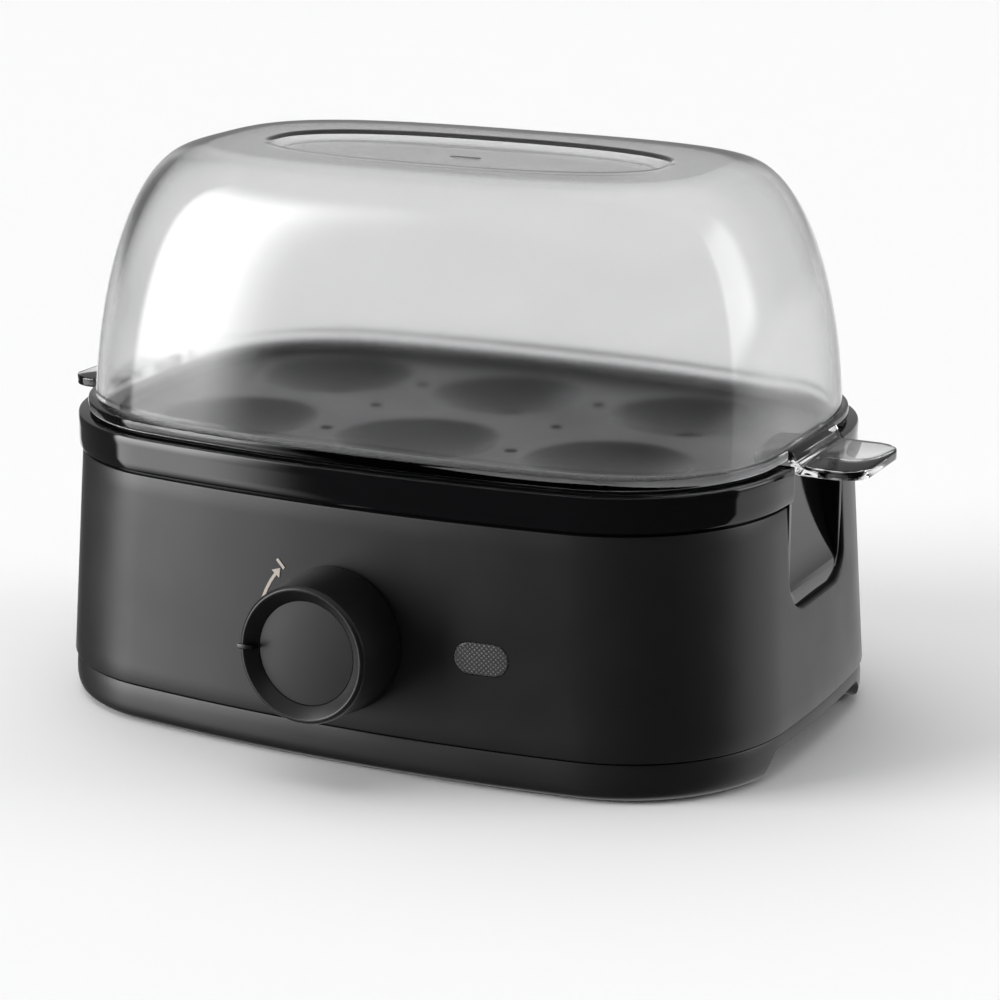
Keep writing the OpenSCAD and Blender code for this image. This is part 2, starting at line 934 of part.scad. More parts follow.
module switch_leaves() {
    color([0.8, 0.5, 0.3])
        placed()
            on_knob()
                for (i = [0, 1])
                    translate([-3 + 4.6 * i, cam_radius + 0.8, cam_z - 1])
                        cube([1.4, timer_plate_half - 6 - cam_radius - 0.8, leaf_thickness]);
}

// A toothed wheel with straight-sided teeth, well clear of its mate's
module gear(teeth, thickness, bore) {
    pitch_r = gear_module * teeth / 2;
    root_r = pitch_r - 1.3 * gear_module;
    tip_r = pitch_r + 0.65 * gear_module;
    step = 360 / teeth;
    difference() {
        linear_extrude(thickness)
            polygon([
                for (i = [0 : teeth - 1])
                    for (corner = [[root_r, -0.3], [tip_r, -0.08], [tip_r, 0.08], [root_r, 0.3]])
                        [corner[0] * cos((i + corner[1]) * step), corner[0] * sin((i + corner[1]) * step)],
            ]);
        translate([0, 0, -cut])
            cylinder(h = thickness + 2 * cut, r = bore, $fn = 32);
    }
}

module timer_shaft() {
    color([0.75, 0.75, 0.77])
        placed()
            on_knob()
                difference() {
                    translate([0, 0, timer_back_z - timer_plate_thickness - 0.8])
                        cylinder(h = knob_reach - 6 - timer_back_z + timer_plate_thickness, r = shaft_radius);
                    translate([-shaft_radius, shaft_radius - 0.8, 2])
                        cube([2 * shaft_radius, shaft_radius, knob_reach]);
                }
}

module drive_gear() {
    color([0.85, 0.72, 0.4])
        placed()
            on_knob()
                translate([0, 0, drive_gear_z - gear_thickness])
                    gear(wheel_teeth, gear_thickness, shaft_radius + thread_fit);
}

module switch_cam() {
    color([0.9, 0.9, 0.88])
        placed()
            on_knob()
                translate([0, 0, cam_z - cam_thickness])
                    difference() {
                        union() {
                            cylinder(h = cam_thickness, r = cam_radius - 1);
                            intersection() {
                                cylinder(h = cam_thickness, r = cam_radius);
                                translate([-cam_radius, -cam_radius, 0])
                                    cube([2 * cam_radius, cam_radius, cam_thickness]);
                            }
                        }
                        translate([0, 0, -cut])
                            cylinder(h = cam_thickness + 2 * cut, r = shaft_radius + thread_fit);
                    }
}

// Turn that puts a pinion in mesh with a wheel of this many teeth, seen from the wheel at this angle
function mesh_turn(angle, teeth) = angle + 180 - 360 / pinion_teeth * (0.5 - angle * teeth / 360);

// A thin arbor between the two timer plates, with its pinion
module arbor_with_pinion(x, y, pinion_z, pinion_height, turn) {
    on_knob()
        translate([x, y, 0]) {
            translate([0, 0, timer_back_z - timer_plate_thickness])
                cylinder(h = arbor_length, r = arbor_radius, $fn = 32);
            translate([0, 0, pinion_z])
                rotate([0, 0, turn])
                    gear(pinion_teeth, pinion_height, arbor_radius - 0.1);
        }
}

module train_arbor() {
    color("silver")
        placed()
            arbor_with_pinion(train_x, train_y, drive_gear_z - gear_thickness, gear_thickness,
                mesh_turn(train_angle, wheel_teeth));
}

module train_wheel() {
    color([0.85, 0.72, 0.4])
        placed()
            on_knob()
                translate([train_x, train_y, second_wheel_z - gear_thickness])
                    gear(second_wheel_teeth, gear_thickness, arbor_radius);
}

module escape_arbor() {
    color("silver")
        placed()
            arbor_with_pinion(escape_x, escape_y, second_wheel_z - gear_thickness, gear_thickness,
                mesh_turn(escape_angle, second_wheel_teeth));
}

module escape_wheel() {
    step = 360 / escape_teeth;
    root_r = escape_radius - 1.2;
    color([0.85, 0.72, 0.4])
        placed()
            on_knob()
                translate([escape_x, escape_y, escape_z - escape_thickness])
                    difference() {
                        linear_extrude(escape_thickness)
                            polygon([
                                for (i = [0 : escape_teeth - 1])
                                    for (corner = [[root_r, 0], [escape_radius, 0.55], [root_r, 0.7]])
                                        [corner[0] * cos((i + corner[1]) * step),
                                            corner[0] * sin((i + corner[1]) * step)],
                            ]);
                        translate([0, 0, -cut])
                            cylinder(h = escape_thickness + 2 * cut, r = arbor_radius, $fn = 32);
                    }
}

// ---------- knob ----------

module pointer_bar() {
    translate([-knob_rim_radius - 0.5, -pointer_width / 2, knob_reach - knob_dish - 0.4])
        cube([knob_rim_radius + 0.5 - disc_radius - 0.3, pointer_width, knob_dish + 0.8]);
}

module knob() {
    color([0.05, 0.05, 0.055])
        placed()
            on_knob()
                difference() {
                    rotate_extrude($fn = 128)
                        polygon([
                            [0, knob_gap],
                            [knob_base_radius, knob_gap],
                            [knob_base_radius, knob_gap + 1.5],
                            [knob_rim_radius, knob_reach - knob_chamfer],
                            [knob_rim_radius - knob_chamfer, knob_reach],
                            [knob_rim_radius - knob_chamfer - knob_land, knob_reach],
                            [disc_radius + thread_fit, knob_reach - knob_dish],
                            [disc_radius + thread_fit, knob_reach - knob_dish - disc_thickness],
                            [0, knob_reach - knob_dish - disc_thickness],
                        ]);
                    translate([0, 0, -cut])
                        cylinder(h = knob_reach - 6 + cut, r = shaft_radius + thread_fit);
                    pointer_bar();
                }
}

module knob_disc() {
    color([0.3, 0.3, 0.31])
        placed()
            on_knob()
                translate([0, 0, knob_reach - knob_dish - disc_thickness])
                    cylinder(h = disc_thickness, r = disc_radius, $fn = 128);
}

module knob_pointer() {
    color([0.01, 0.01, 0.01])
        placed()
            on_knob()
                pointer_bar();
}

// ---------- indicator lamp ----------

module on_lamp() {
    on_front(lamp_offset, lamp_z)
        children();
}

module lamp_lens() {
    color([0.35, 0.35, 0.35])
        placed()
            on_lamp()
                union() {
                    translate([0, 0, lens_back])
                        pill(lamp_length, lamp_height, lens_proud - lens_back);
                    translate([0, 0, lens_back - lens_flange])
                        pill(lamp_length + 3, lamp_height + 3, lens_flange + eps);
                }
}

module lamp_holder() {
    holder_depth = 12;
    color([0.85, 0.85, 0.82])
        placed()
            on_lamp()
                translate([0, 0, lens_back - lens_flange - holder_depth])
                    difference() {
                        translate([-7, -5, 0])
                            cube([14, 10, holder_depth]);
                        translate([0, 0, 2])
                            cylinder(h = holder_depth, r = neon_radius + 0.3);
                    }
}

module neon_lamp() {
    color([0.9, 0.5, 0.3])
        placed()
            on_lamp()
                translate([0, 0, lens_back - lens_flange - 10 + thread_fit]) {
                    cylinder(h = 5, r = neon_radius);
                    translate([0, 0, 5])
                        sphere(r = neon_radius);
                }
}

// ---------- print by the knob ----------

module dial_marks() {
    middle = (mark_start + tick_angle) / 2;
    anchor_x = mark_radius * cos(middle);
    anchor_y = mark_radius * sin(middle);
    color([0.75, 0.7, 0.66])
        placed()
            on_front(anchor_x, knob_height + anchor_y * cos(lean))
                translate([-anchor_x, -anchor_y, mark_thickness / 3]) {
                    rotate([0, 0, mark_end])
                        rotate_extrude(angle = mark_start - mark_end, $fn = 96)
                            translate([mark_radius - mark_width / 2, 0])
                                square([mark_width, mark_thickness]);
                    rotate([0, 0, mark_end])
                        linear_extrude(mark_thickness)
                            polygon([
                                [mark_radius - 1.6, 0.3],
                                [mark_radius + 1.6, 0.3],
                                [mark_radius, -2.2],
                            ]);
                    rotate([0, 0, tick_angle])
                        translate([mark_radius - 0.8, -mark_width / 2, 0])
                            cube([tick_length, mark_width, mark_thickness]);
                }
}

// ---------- mains gland, terminals and inner leads ----------

module cord_gland() {
    inner = -wall - 0.3;
    color([0.05, 0.05, 0.05])
        placed()
            on_back(0, gland_height)
                rotate_extrude()
                    polygon([
                        [gland_bore_radius, inner - 2],
                        [gland_flange_radius, inner - 2],
                        [gland_flange_radius, inner],
                        [gland_neck_radius, inner],
                        [gland_neck_radius, 0.2],
                        [gland_flange_radius, 0.2],
                        [gland_flange_radius, 2],
                        [gland_lip_radius, gland_reach],
                        [gland_bore_radius, gland_reach],
                    ]);
}

module terminal_block() {
    color([0.85, 0.85, 0.8])
        placed()
            difference() {
                translate([terminal_x - 12, terminal_y - 7, terminal_base])
                    cube([24, 14, 12]);
                for (i = [-1 : 1])
                    translate([terminal_x + 6 * i, terminal_y + 3, terminal_base + 7])
                        cylinder(h = 6, r = 1.8, $fn = 24);
            }
}

terminal_top = terminal_base + 12;
pin_bottom = pin_top - pin_length;
pin_x = element_ring_radius * sin(element_gap_angle / 2);
pin_y = element_ring_radius * cos(element_gap_angle / 2);
lead_radius = 1.1;

module live_lead() {
    height = 30;
    color([0.35, 0.2, 0.1])
        placed()
            lead([
                [terminal_x - 6, terminal_y - 3, terminal_top],
                [terminal_x - 6, terminal_y - 3, height],
                [-pin_x, pin_y, height],
                [-pin_x, pin_y, pin_bottom],
            ], lead_radius);
}

module neutral_lead() {
    height = 25;
    color([0.15, 0.25, 0.6])
        placed()
            lead([
                [terminal_x + 6, terminal_y - 3, terminal_top],
                [terminal_x + 6, terminal_y - 3, height],
                [pin_x, pin_y, height],
                [pin_x, pin_y, pin_bottom],
            ], lead_radius);
}

module lamp_lead() {
    height = 20;
    holder_y = -wall_y(lamp_offset, lamp_z) + 11;
    color([0.6, 0.6, 0.6])
        placed()
            lead([
                [terminal_x, terminal_y - 3, terminal_top],
                [terminal_x, terminal_y - 3, height],
                [terminal_x, 20, height],
                [lamp_offset + 3, 20, height],
                [lamp_offset + 3, holder_y, height],
                [lamp_offset + 3, holder_y, lamp_z - 6],
            ], lead_radius);
}

// ---------- egg tray ----------

// One dished well: a spherical shell with a drain hole
module well_shape() {
    translate([0, 0, tray_floor_top - well_depth + well_sphere])
        difference() {
            intersection() {
                sphere(r = well_sphere + tray_thickness, $fn = 96);
                translate([0, 0, -2 * well_sphere])
                    cylinder(h = well_sphere + well_depth, r = well_radius + 1, $fn = 96);
            }
            sphere(r = well_sphere, $fn = 96);
            translate([0, 0, -2 * well_sphere])
                cylinder(h = 2 * well_sphere, r = drain_radius, $fn = 32);
        }
}

module at_wells() {
    for (i = [-1 : 1], j = [-1, 1])
        translate([i * well_pitch_x, j * well_pitch_y / 2, 0])
            children();
}

module egg_tray() {
    color([0.16, 0.16, 0.17])
        placed()
            union() {
                difference() {
                    slab(tray_floor_bottom, tray_thickness, tray_inset);
                    at_wells()
                        translate([0, 0, tray_floor_bottom - cut])
                            cylinder(h = tray_thickness + 2 * cut, r = well_radius + 0.5, $fn = 96);
                    for (x = [-1, 1], y = [-1, 0, 1])
                        translate([x * well_pitch_x / 2, y * well_pitch_y / 2, tray_floor_bottom - cut])
                            cylinder(h = tray_thickness + 2 * cut, r = steam_hole_radius, $fn = 24);
                }
                ring(tray_floor_bottom, flange_bottom - tray_floor_bottom, tray_inset,
                    tray_inset + tray_thickness);
                ring(band_top, tray_lip_thickness, tray_lip_inset, tray_inset + tray_thickness);
                at_wells()
                    well_shape();
            }
}

// ---------- lid ----------

flange_outline = outline(shoulder_a, shoulder_b, flange_inset - band_proud);

function sign_power(v, p) = sign(v) * pow(abs(v), p);

// One level outline of the dome
// One level outline of the dome, its points spread as those of the flange's outline are
function dome_outline(a, b, z, power) =
    [for (p = flange_outline)
        let (t = atan2(sign_power(p[1] / flange_b, power / 2), sign_power(p[0] / flange_a, power / 2)))
        [a * sign_power(cos(t), 2 / power), b * sign_power(sin(t), 2 / power), z]];

function dome_curve(u, power) = pow(max(0, 1 - pow(u, power[0])), 1 / power[1]);

// The dome's side at a fraction of its height; "inset" is the wall that is taken off
function dome_level(u, inset, foot_z, top_z) =
    dome_outline(
        crown_a - inset + (dome_a - crown_a) * dome_curve(u, dome_power_x),
        crown_b - inset + (dome_b - crown_b) * dome_curve(u, dome_power_y),
        foot_z + (top_z - foot_z) * u,
        outline_power_foot + (outline_power_crown - outline_power_foot) * u
    );

// Levels bunch together towards the crown, where the side turns in fast
function level_height(i) = 1 - pow(1 - i / dome_rings, 2.2);

function dome_top(inset, top_z) = [
    dome_outline(dish_in_lid_a - 4 - inset, dish_in_lid_b - 4 - inset, top_z - dish_in_lid_depth, 2.5),
    dome_outline(dish_in_lid_a - inset, dish_in_lid_b - inset, top_z, 2.5),
];

module dome_shell() {
    inner_top = lid_top - lid_wall;
    levels = concat(
        dome_top(0, lid_top),
        [for (i = [dome_rings : -1 : 0]) dome_level(level_height(i), 0, flange_top, lid_top)],
        [for (z = [flange_top, flange_bottom]) [for (p = flange_outline) [p[0], p[1], z]]],
        [dome_level(0, lid_wall, flange_bottom, inner_top)],
        [for (i = [1 : dome_rings]) dome_level(level_height(i), lid_wall, flange_bottom, inner_top)],
        [for (i = [1, 0]) dome_top(0, inner_top)[i]]
    );
    last = len(levels) - 1;
    m = len(flange_outline);
    points = concat(
        [for (level = levels) each level],
        [[0, 0, levels[0][0][2]], [0, 0, levels[last][0][2]]]
    );
    polyhedron(
        points,
        concat(
            [for (j = [0 : m - 1]) [len(points) - 2, (j + 1) % m, j]],
            [for (k = [0 : last - 1], j = [0 : m - 1])
                [k * m + j, k * m + (j + 1) % m, (k + 1) * m + (j + 1) % m]],
            [for (k = [0 : last - 1], j = [0 : m - 1])
                [k * m + j, (k + 1) * m + (j + 1) % m, (k + 1) * m + j]],
            [for (j = [0 : m - 1]) [len(points) - 1, last * m + j, last * m + (j + 1) % m]]
        )
    );
}

module grip_tab() {
    tip = flange_a + tab_reach;
    corner = 8;
    tab_top = flange_top - tab_drop;
    // the tab itself, with round outer corners
    translate([0, 0, tab_top - flange_thickness])
        linear_extrude(flange_thickness)
            union() {
                translate([flange_a, -tab_half_width])
                    square([tab_reach - corner, 2 * tab_half_width]);
                translate([flange_a, corner - tab_half_width])
                    square([tab_reach, 2 * (tab_half_width - corner)]);
                for (side = [-1, 1])
                    translate([tip - corner, side * (tab_half_width - corner)])
                        circle(r = corner, $fn = 32);
            }
    // the step down from the flange
    translate([flange_a - 0.5, -tab_half_width, tab_top - flange_thickness])
        cube([flange_thickness, 2 * tab_half_width, tab_drop + flange_thickness]);
}

module lid() {
    color([0.85, 0.87, 0.88, 0.45])
        placed()
            difference() {
                union() {
                    dome_shell();
                    for (side = [0, 180])
                        rotate([0, 0, side])
                            grip_tab();
                }
                translate([0, 0, lid_top - dish_in_lid_depth - lid_wall - cut])
                    pill(steam_slot_length, 2, lid_wall + 2 * cut);
            }
}

housing();
rim_collar();
water_basin();
basin_gasket();
heating_dish();
heating_element();
element_pins();
clamp_bar();
clamp_nuts();
thermostat();
thermostat_washer();
thermal_fuse();
fuse_sleeve();
base_plate();
feet();
base_screws();
collar_screws();
timer_front_plate();
timer_back_plate();
timer_pillars();
timer_screws();
mainspring_drum();
switch_block();
switch_leaves();
lamp_lens();
lamp_holder();
neon_lamp();
dial_marks();
cord_gland();
terminal_block();
live_lead();
neutral_lead();
lamp_lead();
knob();
knob_disc();
knob_pointer();
timer_shaft();
drive_gear();
switch_cam();
train_arbor();
train_wheel();
escape_arbor();
escape_wheel();
egg_tray();
lid();
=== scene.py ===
import json
import math

import bmesh
import bpy
from bpy.props import FloatProperty, FloatVectorProperty, PointerProperty
from bpy.types import Operator, Panel, PropertyGroup
from mathutils import Matrix, Vector


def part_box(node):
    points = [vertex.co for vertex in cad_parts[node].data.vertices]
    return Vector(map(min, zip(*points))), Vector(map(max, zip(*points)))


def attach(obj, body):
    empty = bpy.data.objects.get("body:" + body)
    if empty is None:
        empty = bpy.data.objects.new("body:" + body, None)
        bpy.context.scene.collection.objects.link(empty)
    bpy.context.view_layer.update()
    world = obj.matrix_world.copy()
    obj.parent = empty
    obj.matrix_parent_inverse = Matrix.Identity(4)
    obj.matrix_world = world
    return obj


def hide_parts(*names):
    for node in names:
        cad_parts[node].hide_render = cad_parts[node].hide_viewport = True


bl_info = {
    "name": "Egg cooker",
    "version": (1, 0, 0),
    "blender": (4, 5, 0),
    "location": "View3D > Sidebar > Egg cooker",
    "description": "Builds the covers, lid, tray, knob and finishes of a six-egg electric egg cooker",
    "category": "Add Mesh",
}

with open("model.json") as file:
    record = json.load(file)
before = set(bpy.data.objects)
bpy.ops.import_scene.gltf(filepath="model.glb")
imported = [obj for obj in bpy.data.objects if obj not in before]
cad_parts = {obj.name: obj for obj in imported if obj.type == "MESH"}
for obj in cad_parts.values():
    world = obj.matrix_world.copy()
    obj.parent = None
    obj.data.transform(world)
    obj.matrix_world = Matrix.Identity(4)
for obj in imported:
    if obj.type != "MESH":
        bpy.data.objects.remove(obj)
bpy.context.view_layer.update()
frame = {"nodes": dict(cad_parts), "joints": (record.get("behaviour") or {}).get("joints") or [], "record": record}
HOUSING_LOW, HOUSING_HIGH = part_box("housing")
COLLAR_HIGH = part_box("rim_collar")[1]
LID_LOW, LID_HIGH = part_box("lid")
TRAY_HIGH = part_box("egg_tray")[1]
BASIN_LOW, BASIN_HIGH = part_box("water_basin")
KNOB_JOINT = [joint for joint in frame["joints"] if joint["name"] == "knob_turn"][0]
GLAND_HEIGHT = 0.024
MIDDLE = Vector((0.0, (HOUSING_LOW.y + HOUSING_HIGH.y) / 2, 0.0))
TINY = 0.00001


# ---------- sizes and colours ----------


class BodySizes(PropertyGroup):
    """The two black covers"""

    length: FloatProperty(
        name="Length", description="Length of the body at the seam",
        default=HOUSING_HIGH.x - HOUSING_LOW.x, unit="LENGTH")
    depth: FloatProperty(
        name="Depth", description="Depth of the body at the seam",
        default=HOUSING_HIGH.y - HOUSING_LOW.y, unit="LENGTH")
    length_taper: FloatProperty(
        name="Length taper", description="How much shorter the body is at its shoulder",
        default=0.008, unit="LENGTH")
    depth_taper: FloatProperty(
        name="Depth taper", description="How much shallower the body is at its shoulder",
        default=0.006, unit="LENGTH")
    corner_radius: FloatProperty(
        name="Corner radius", description="Corner radius of the plan outline",
        default=0.050, unit="LENGTH")
    front_bow: FloatProperty(
        name="Front bow", description="Radius of the bulge along the front and back",
        default=0.530, unit="LENGTH")
    end_bow: FloatProperty(
        name="End bow", description="Radius of the bulge along the two ends",
        default=0.450, unit="LENGTH")
    wall: FloatProperty(
        name="Wall", description="Thickness of the moulded covers",
        default=0.0025, unit="LENGTH")
    edge: FloatProperty(
        name="Edge radius", description="Rounding of the covers' edges",
        default=0.0005, unit="LENGTH")
    colour: FloatVectorProperty(
        name="Cover colour", description="Colour of the satin black covers",
        default=(0.0105, 0.0105, 0.0112), subtype="COLOR", min=0.0, max=1.0)
    roughness: FloatProperty(
        name="Cover roughness", description="How matt the covers are",
        default=0.40, subtype="FACTOR", min=0.0, max=1.0)


class CollarSizes(PropertyGroup):
    """The glossy band with its finger recesses"""

    band_height: FloatProperty(
        name="Band height", description="Height of the glossy band",
        default=0.010, unit="LENGTH")
    proud: FloatProperty(
        name="Band overhang", description="How far the band stands out from the shoulder",
        default=0.001, unit="LENGTH")
    bore: FloatProperty(
        name="Bore inset", description="Distance from the shoulder's outline in to the collar's bore",
        default=0.0095, unit="LENGTH")
    notch_half_width: FloatProperty(
        name="Notch half width", description="Half width of the finger notch in each end",
        default=0.0213, unit="LENGTH")
    notch_bottom: FloatProperty(
        name="Notch bottom", description="Height of the finger notch's lowest point",
        default=HOUSING_HIGH.z - 0.0308, unit="LENGTH")
    notch_radius: FloatProperty(
        name="Notch radius", description="Radius of the notch's lower corners",
        default=0.009, unit="LENGTH")
    recess_depth: FloatProperty(
        name="Recess depth", description="How deep the finger recess is at its top",
        default=0.008, unit="LENGTH")
    lip: FloatProperty(
        name="Lip radius", description="Rounding of the recess's rim",
        default=0.0009, unit="LENGTH")
    colour: FloatVectorProperty(
        name="Band colour", description="Colour of the glossy black band",
        default=(0.004, 0.004, 0.0045), subtype="COLOR", min=0.0, max=1.0)


class LidSizes(PropertyGroup):
    """The clear lid"""

    wall: FloatProperty(
        name="Wall", description="Thickness of the lid's wall",
        default=0.0022, unit="LENGTH")
    flange: FloatProperty(
        name="Flange", description="Thickness of the lid's flange and tabs",
        default=0.003, unit="LENGTH")
    flange_inset: FloatProperty(
        name="Flange inset", description="Distance from the shoulder's outline in to the flange's edge",
        default=0.002, unit="LENGTH")
    foot_half_length: FloatProperty(
        name="Foot half length", description="Half length of the dome at its foot",
        default=0.1074, unit="LENGTH")
    foot_half_depth: FloatProperty(
        name="Foot half depth", description="Half depth of the dome at its foot",
        default=0.0683, unit="LENGTH")
    crown_length: FloatProperty(
        name="Crown length share", description="Length of the flat crown as a share of the foot",
        default=0.737, subtype="FACTOR")
    crown_depth: FloatProperty(
        name="Crown depth share", description="Depth of the flat crown as a share of the foot",
        default=0.573, subtype="FACTOR")
    dish_depth: FloatProperty(
        name="Top dish depth", description="Depth of the shallow dish in the lid's top",
        default=0.0022, unit="LENGTH")
    tab_half_width: FloatProperty(
        name="Tab half width", description="Half width of the grip tab at each end",
        default=0.0175, unit="LENGTH")
    tab_drop: FloatProperty(
        name="Tab drop", description="How far each grip tab drops below the flange",
        default=0.004, unit="LENGTH")
    slot_length: FloatProperty(
        name="Steam slot length", description="Length of the steam slot in the lid's top",
        default=0.010, unit="LENGTH")
    slot_width: FloatProperty(
        name="Steam slot width", description="Width of the steam slot",
        default=0.002, unit="LENGTH")
    tint: FloatVectorProperty(
        name="Lid tint", description="Colour that the lid gives to light passing through it",
        default=(0.885, 0.885, 0.89), subtype="COLOR", min=0.0, max=1.0)
    frost: FloatProperty(
        name="Frost", description="Roughness of the dome's textured wall",
        default=0.13, subtype="FACTOR", min=0.0, max=1.0)


class TraySizes(PropertyGroup):
    """The egg tray and the basin below it"""

    wall: FloatProperty(
        name="Wall", description="Thickness of the tray",
        default=0.0014, unit="LENGTH")
    pitch: FloatProperty(
        name="Well pitch", description="Distance between the egg wells",
        default=0.060, unit="LENGTH")
    well_radius: FloatProperty(
        name="Well radius", description="Radius of each egg well at the tray's floor",
        default=0.024, unit="LENGTH")
    well_depth: FloatProperty(
        name="Well depth", description="Depth of each egg well",
        default=0.007, unit="LENGTH")
    drain_radius: FloatProperty(
        name="Drain radius", description="Radius of the drain hole in each well",
        default=0.005, unit="LENGTH")
    steam_radius: FloatProperty(
        name="Steam hole radius", description="Radius of each steam hole between the wells",
        default=0.002, unit="LENGTH")
    colour: FloatVectorProperty(
        name="Tray colour", description="Colour of the grey egg tray",
        default=(0.015, 0.015, 0.0155), subtype="COLOR", min=0.0, max=1.0)
    basin_colour: FloatVectorProperty(
        name="Basin colour", description="Colour of the basin below the tray",
        default=(0.02, 0.02, 0.021), subtype="COLOR", min=0.0, max=1.0)


class KnobSizes(PropertyGroup):
    """The timer knob, lamp window and dial print"""

    base_radius: FloatProperty(
        name="Base radius", description="Radius of the knob at its base",
        default=0.0207, unit="LENGTH")
    rim_radius: FloatProperty(
        name="Rim radius", description="Radius of the knob at its front rim",
        default=0.0195, unit="LENGTH")
    reach: FloatProperty(
        name="Reach", description="How far the knob stands out from the wall",
        default=0.0201, unit="LENGTH")
    gap: FloatProperty(
        name="Wall gap", description="Gap between the knob and the wall",
        default=0.0008, unit="LENGTH")
    dish: FloatProperty(
        name="Face dish", description="How far the disc sits below the rim",
        default=0.003, unit="LENGTH")
    disc_share: FloatProperty(
        name="Disc share", description="Radius of the disc as a share of the rim's",
        default=0.755, subtype="FACTOR")
    pointer_width: FloatProperty(
        name="Pointer width", description="Width of the pointer bar",
        default=0.0013, unit="LENGTH")
    lens_length: FloatProperty(
        name="Lamp window length", description="Length of the lamp's window",
        default=0.016, unit="LENGTH")
    lens_height: FloatProperty(
        name="Lamp window height", description="Height of the lamp's window",
        default=0.009, unit="LENGTH")
    lens_offset: FloatProperty(
        name="Lamp offset", description="Distance of the lamp's window from the knob's axis",
        default=0.044, unit="LENGTH")
    colour: FloatVectorProperty(
        name="Knob colour", description="Colour of the satin black knob",
        default=(0.009, 0.009, 0.0095), subtype="COLOR", min=0.0, max=1.0)
    disc_colour: FloatVectorProperty(
        name="Disc colour", description="Colour of the disc in the knob's face",
        default=(0.013, 0.013, 0.0135), subtype="COLOR", min=0.0, max=1.0)
    lens_colour: FloatVectorProperty(
        name="Lamp window colour", description="Colour of the lamp's diffusing window",
        default=(0.085, 0.085, 0.086), subtype="COLOR", min=0.0, max=1.0)
    print_colour: FloatVectorProperty(
        name="Print colour", description="Colour of the dial's printed marks",
        default=(0.50, 0.44, 0.39), subtype="COLOR", min=0.0, max=1.0)


class BaseSizes(PropertyGroup):
    """The skirt, feet and gland"""

    floor: FloatProperty(
        name="Floor", description="Thickness of the base's floor",
        default=0.0025, unit="LENGTH")
    grip_half_width: FloatProperty(
        name="Grip half width", description="Half width of the finger gap under each end, at its top",
        default=0.032, unit="LENGTH")
    grip_sweep: FloatProperty(
        name="Grip sweep", description="How far each end of the finger gap sweeps out on its way down",
        default=0.009, unit="LENGTH")
    grip_inset: FloatProperty(
        name="Grip inset", description="How far the finger gap reaches in from the seam",
        default=0.012, unit="LENGTH")
    grip_height: FloatProperty(
        name="Grip height", description="Height of the finger gap",
        default=0.008, unit="LENGTH")
    foot_radius: FloatProperty(
        name="Foot radius", description="Radius of each foot",
        default=0.009, unit="LENGTH")
    foot_inset_x: FloatProperty(
        name="Foot inset along", description="Distance of a foot's middle from the seam's end",
        default=0.030, unit="LENGTH")
    foot_inset_y: FloatProperty(
        name="Foot inset across", description="Distance of a foot's middle from the seam's front",
        default=0.027, unit="LENGTH")
    foot_colour: FloatVectorProperty(
        name="Rubber colour", description="Colour of the feet and the gland",
        default=(0.012, 0.012, 0.012), subtype="COLOR", min=0.0, max=1.0)
    gland_bore: FloatProperty(
        name="Gland bore", description="Radius of the mains lead's bore",
        default=0.0033, unit="LENGTH")


class StageSizes(PropertyGroup):
    """Floor, light and camera"""

    floor_size: FloatProperty(
        name="Floor size", description="Side of the square floor",
        default=24.0, unit="LENGTH")
    floor_colour: FloatVectorProperty(
        name="Floor colour", description="Colour of the floor",
        default=(0.9, 0.9, 0.9), subtype="COLOR", min=0.0, max=1.0)
    azimuth: FloatProperty(
        name="Azimuth", description="Camera's turn to the right of the front",
        default=math.radians(26.49), subtype="ANGLE")
    elevation: FloatProperty(
        name="Elevation", description="Camera's angle above the level",
        default=math.radians(15.78), subtype="ANGLE")
    distance: FloatProperty(
        name="Distance", description="Camera's distance from its aim",
        default=0.873, unit="LENGTH")
    lens: FloatProperty(
        name="Lens", description="Focal length in millimetres",
        default=105.5, unit="CAMERA")
    aim_right: FloatProperty(
        name="Aim along", description="How far right of the middle the camera aims",
        default=0.01119, unit="LENGTH")
    aim_height: FloatProperty(
        name="Aim height", description="Height that the camera aims at",
        default=0.0591, unit="LENGTH")
    left_panel: FloatProperty(
        name="Left panel", description="Brightness of the tall panel at the front left",
        default=3.8, min=0.0)
    right_panel: FloatProperty(
        name="Right panel", description="Brightness of the raised panel behind the right side",
        default=2.8, min=0.0)
    back_panel: FloatProperty(
        name="Back panel", description="Brightness of the low sweep round the back",
        default=0.95, min=0.0)
    ceiling: FloatProperty(
        name="Ceiling", description="Brightness overhead",
        default=0.45, min=0.0)
    shade: FloatProperty(
        name="Shade", description="Brightness of the dark room between the panels",
        default=0.015, min=0.0)


SIZES = {
    "cooker_body": BodySizes,
    "cooker_collar": CollarSizes,
    "cooker_lid": LidSizes,
    "cooker_tray": TraySizes,
    "cooker_knob": KnobSizes,
    "cooker_base": BaseSizes,
    "cooker_stage": StageSizes,
}


# ---------- plan outline ----------

END_STEPS = 8
CORNER_STEPS = 26
FRONT_STEPS = 14


def arc(cx, cy, radius, start, end, steps):
    """Points along an arc"""
    points = []
    for i in range(steps + 1):
        turn = start + (end - start) * i / steps
        points.append((cx + radius * math.cos(turn), cy + radius * math.sin(turn)))
    return points


def corner_centre(a, b, r, front, end):
    """Centre of the corner arc that is tangent to the front bow and the end bow"""
    base_x = a - end
    base_y = b - front
    r0 = front - r
    r1 = end - r
    apart = math.hypot(base_x, base_y)
    along = (r0 * r0 - r1 * r1 + apart * apart) / (2 * apart)
    off = math.sqrt(r0 * r0 - along * along)
    x = along * base_x / apart - off * base_y / apart
    y = base_y - along * base_y / apart - off * base_x / apart
    return x, y


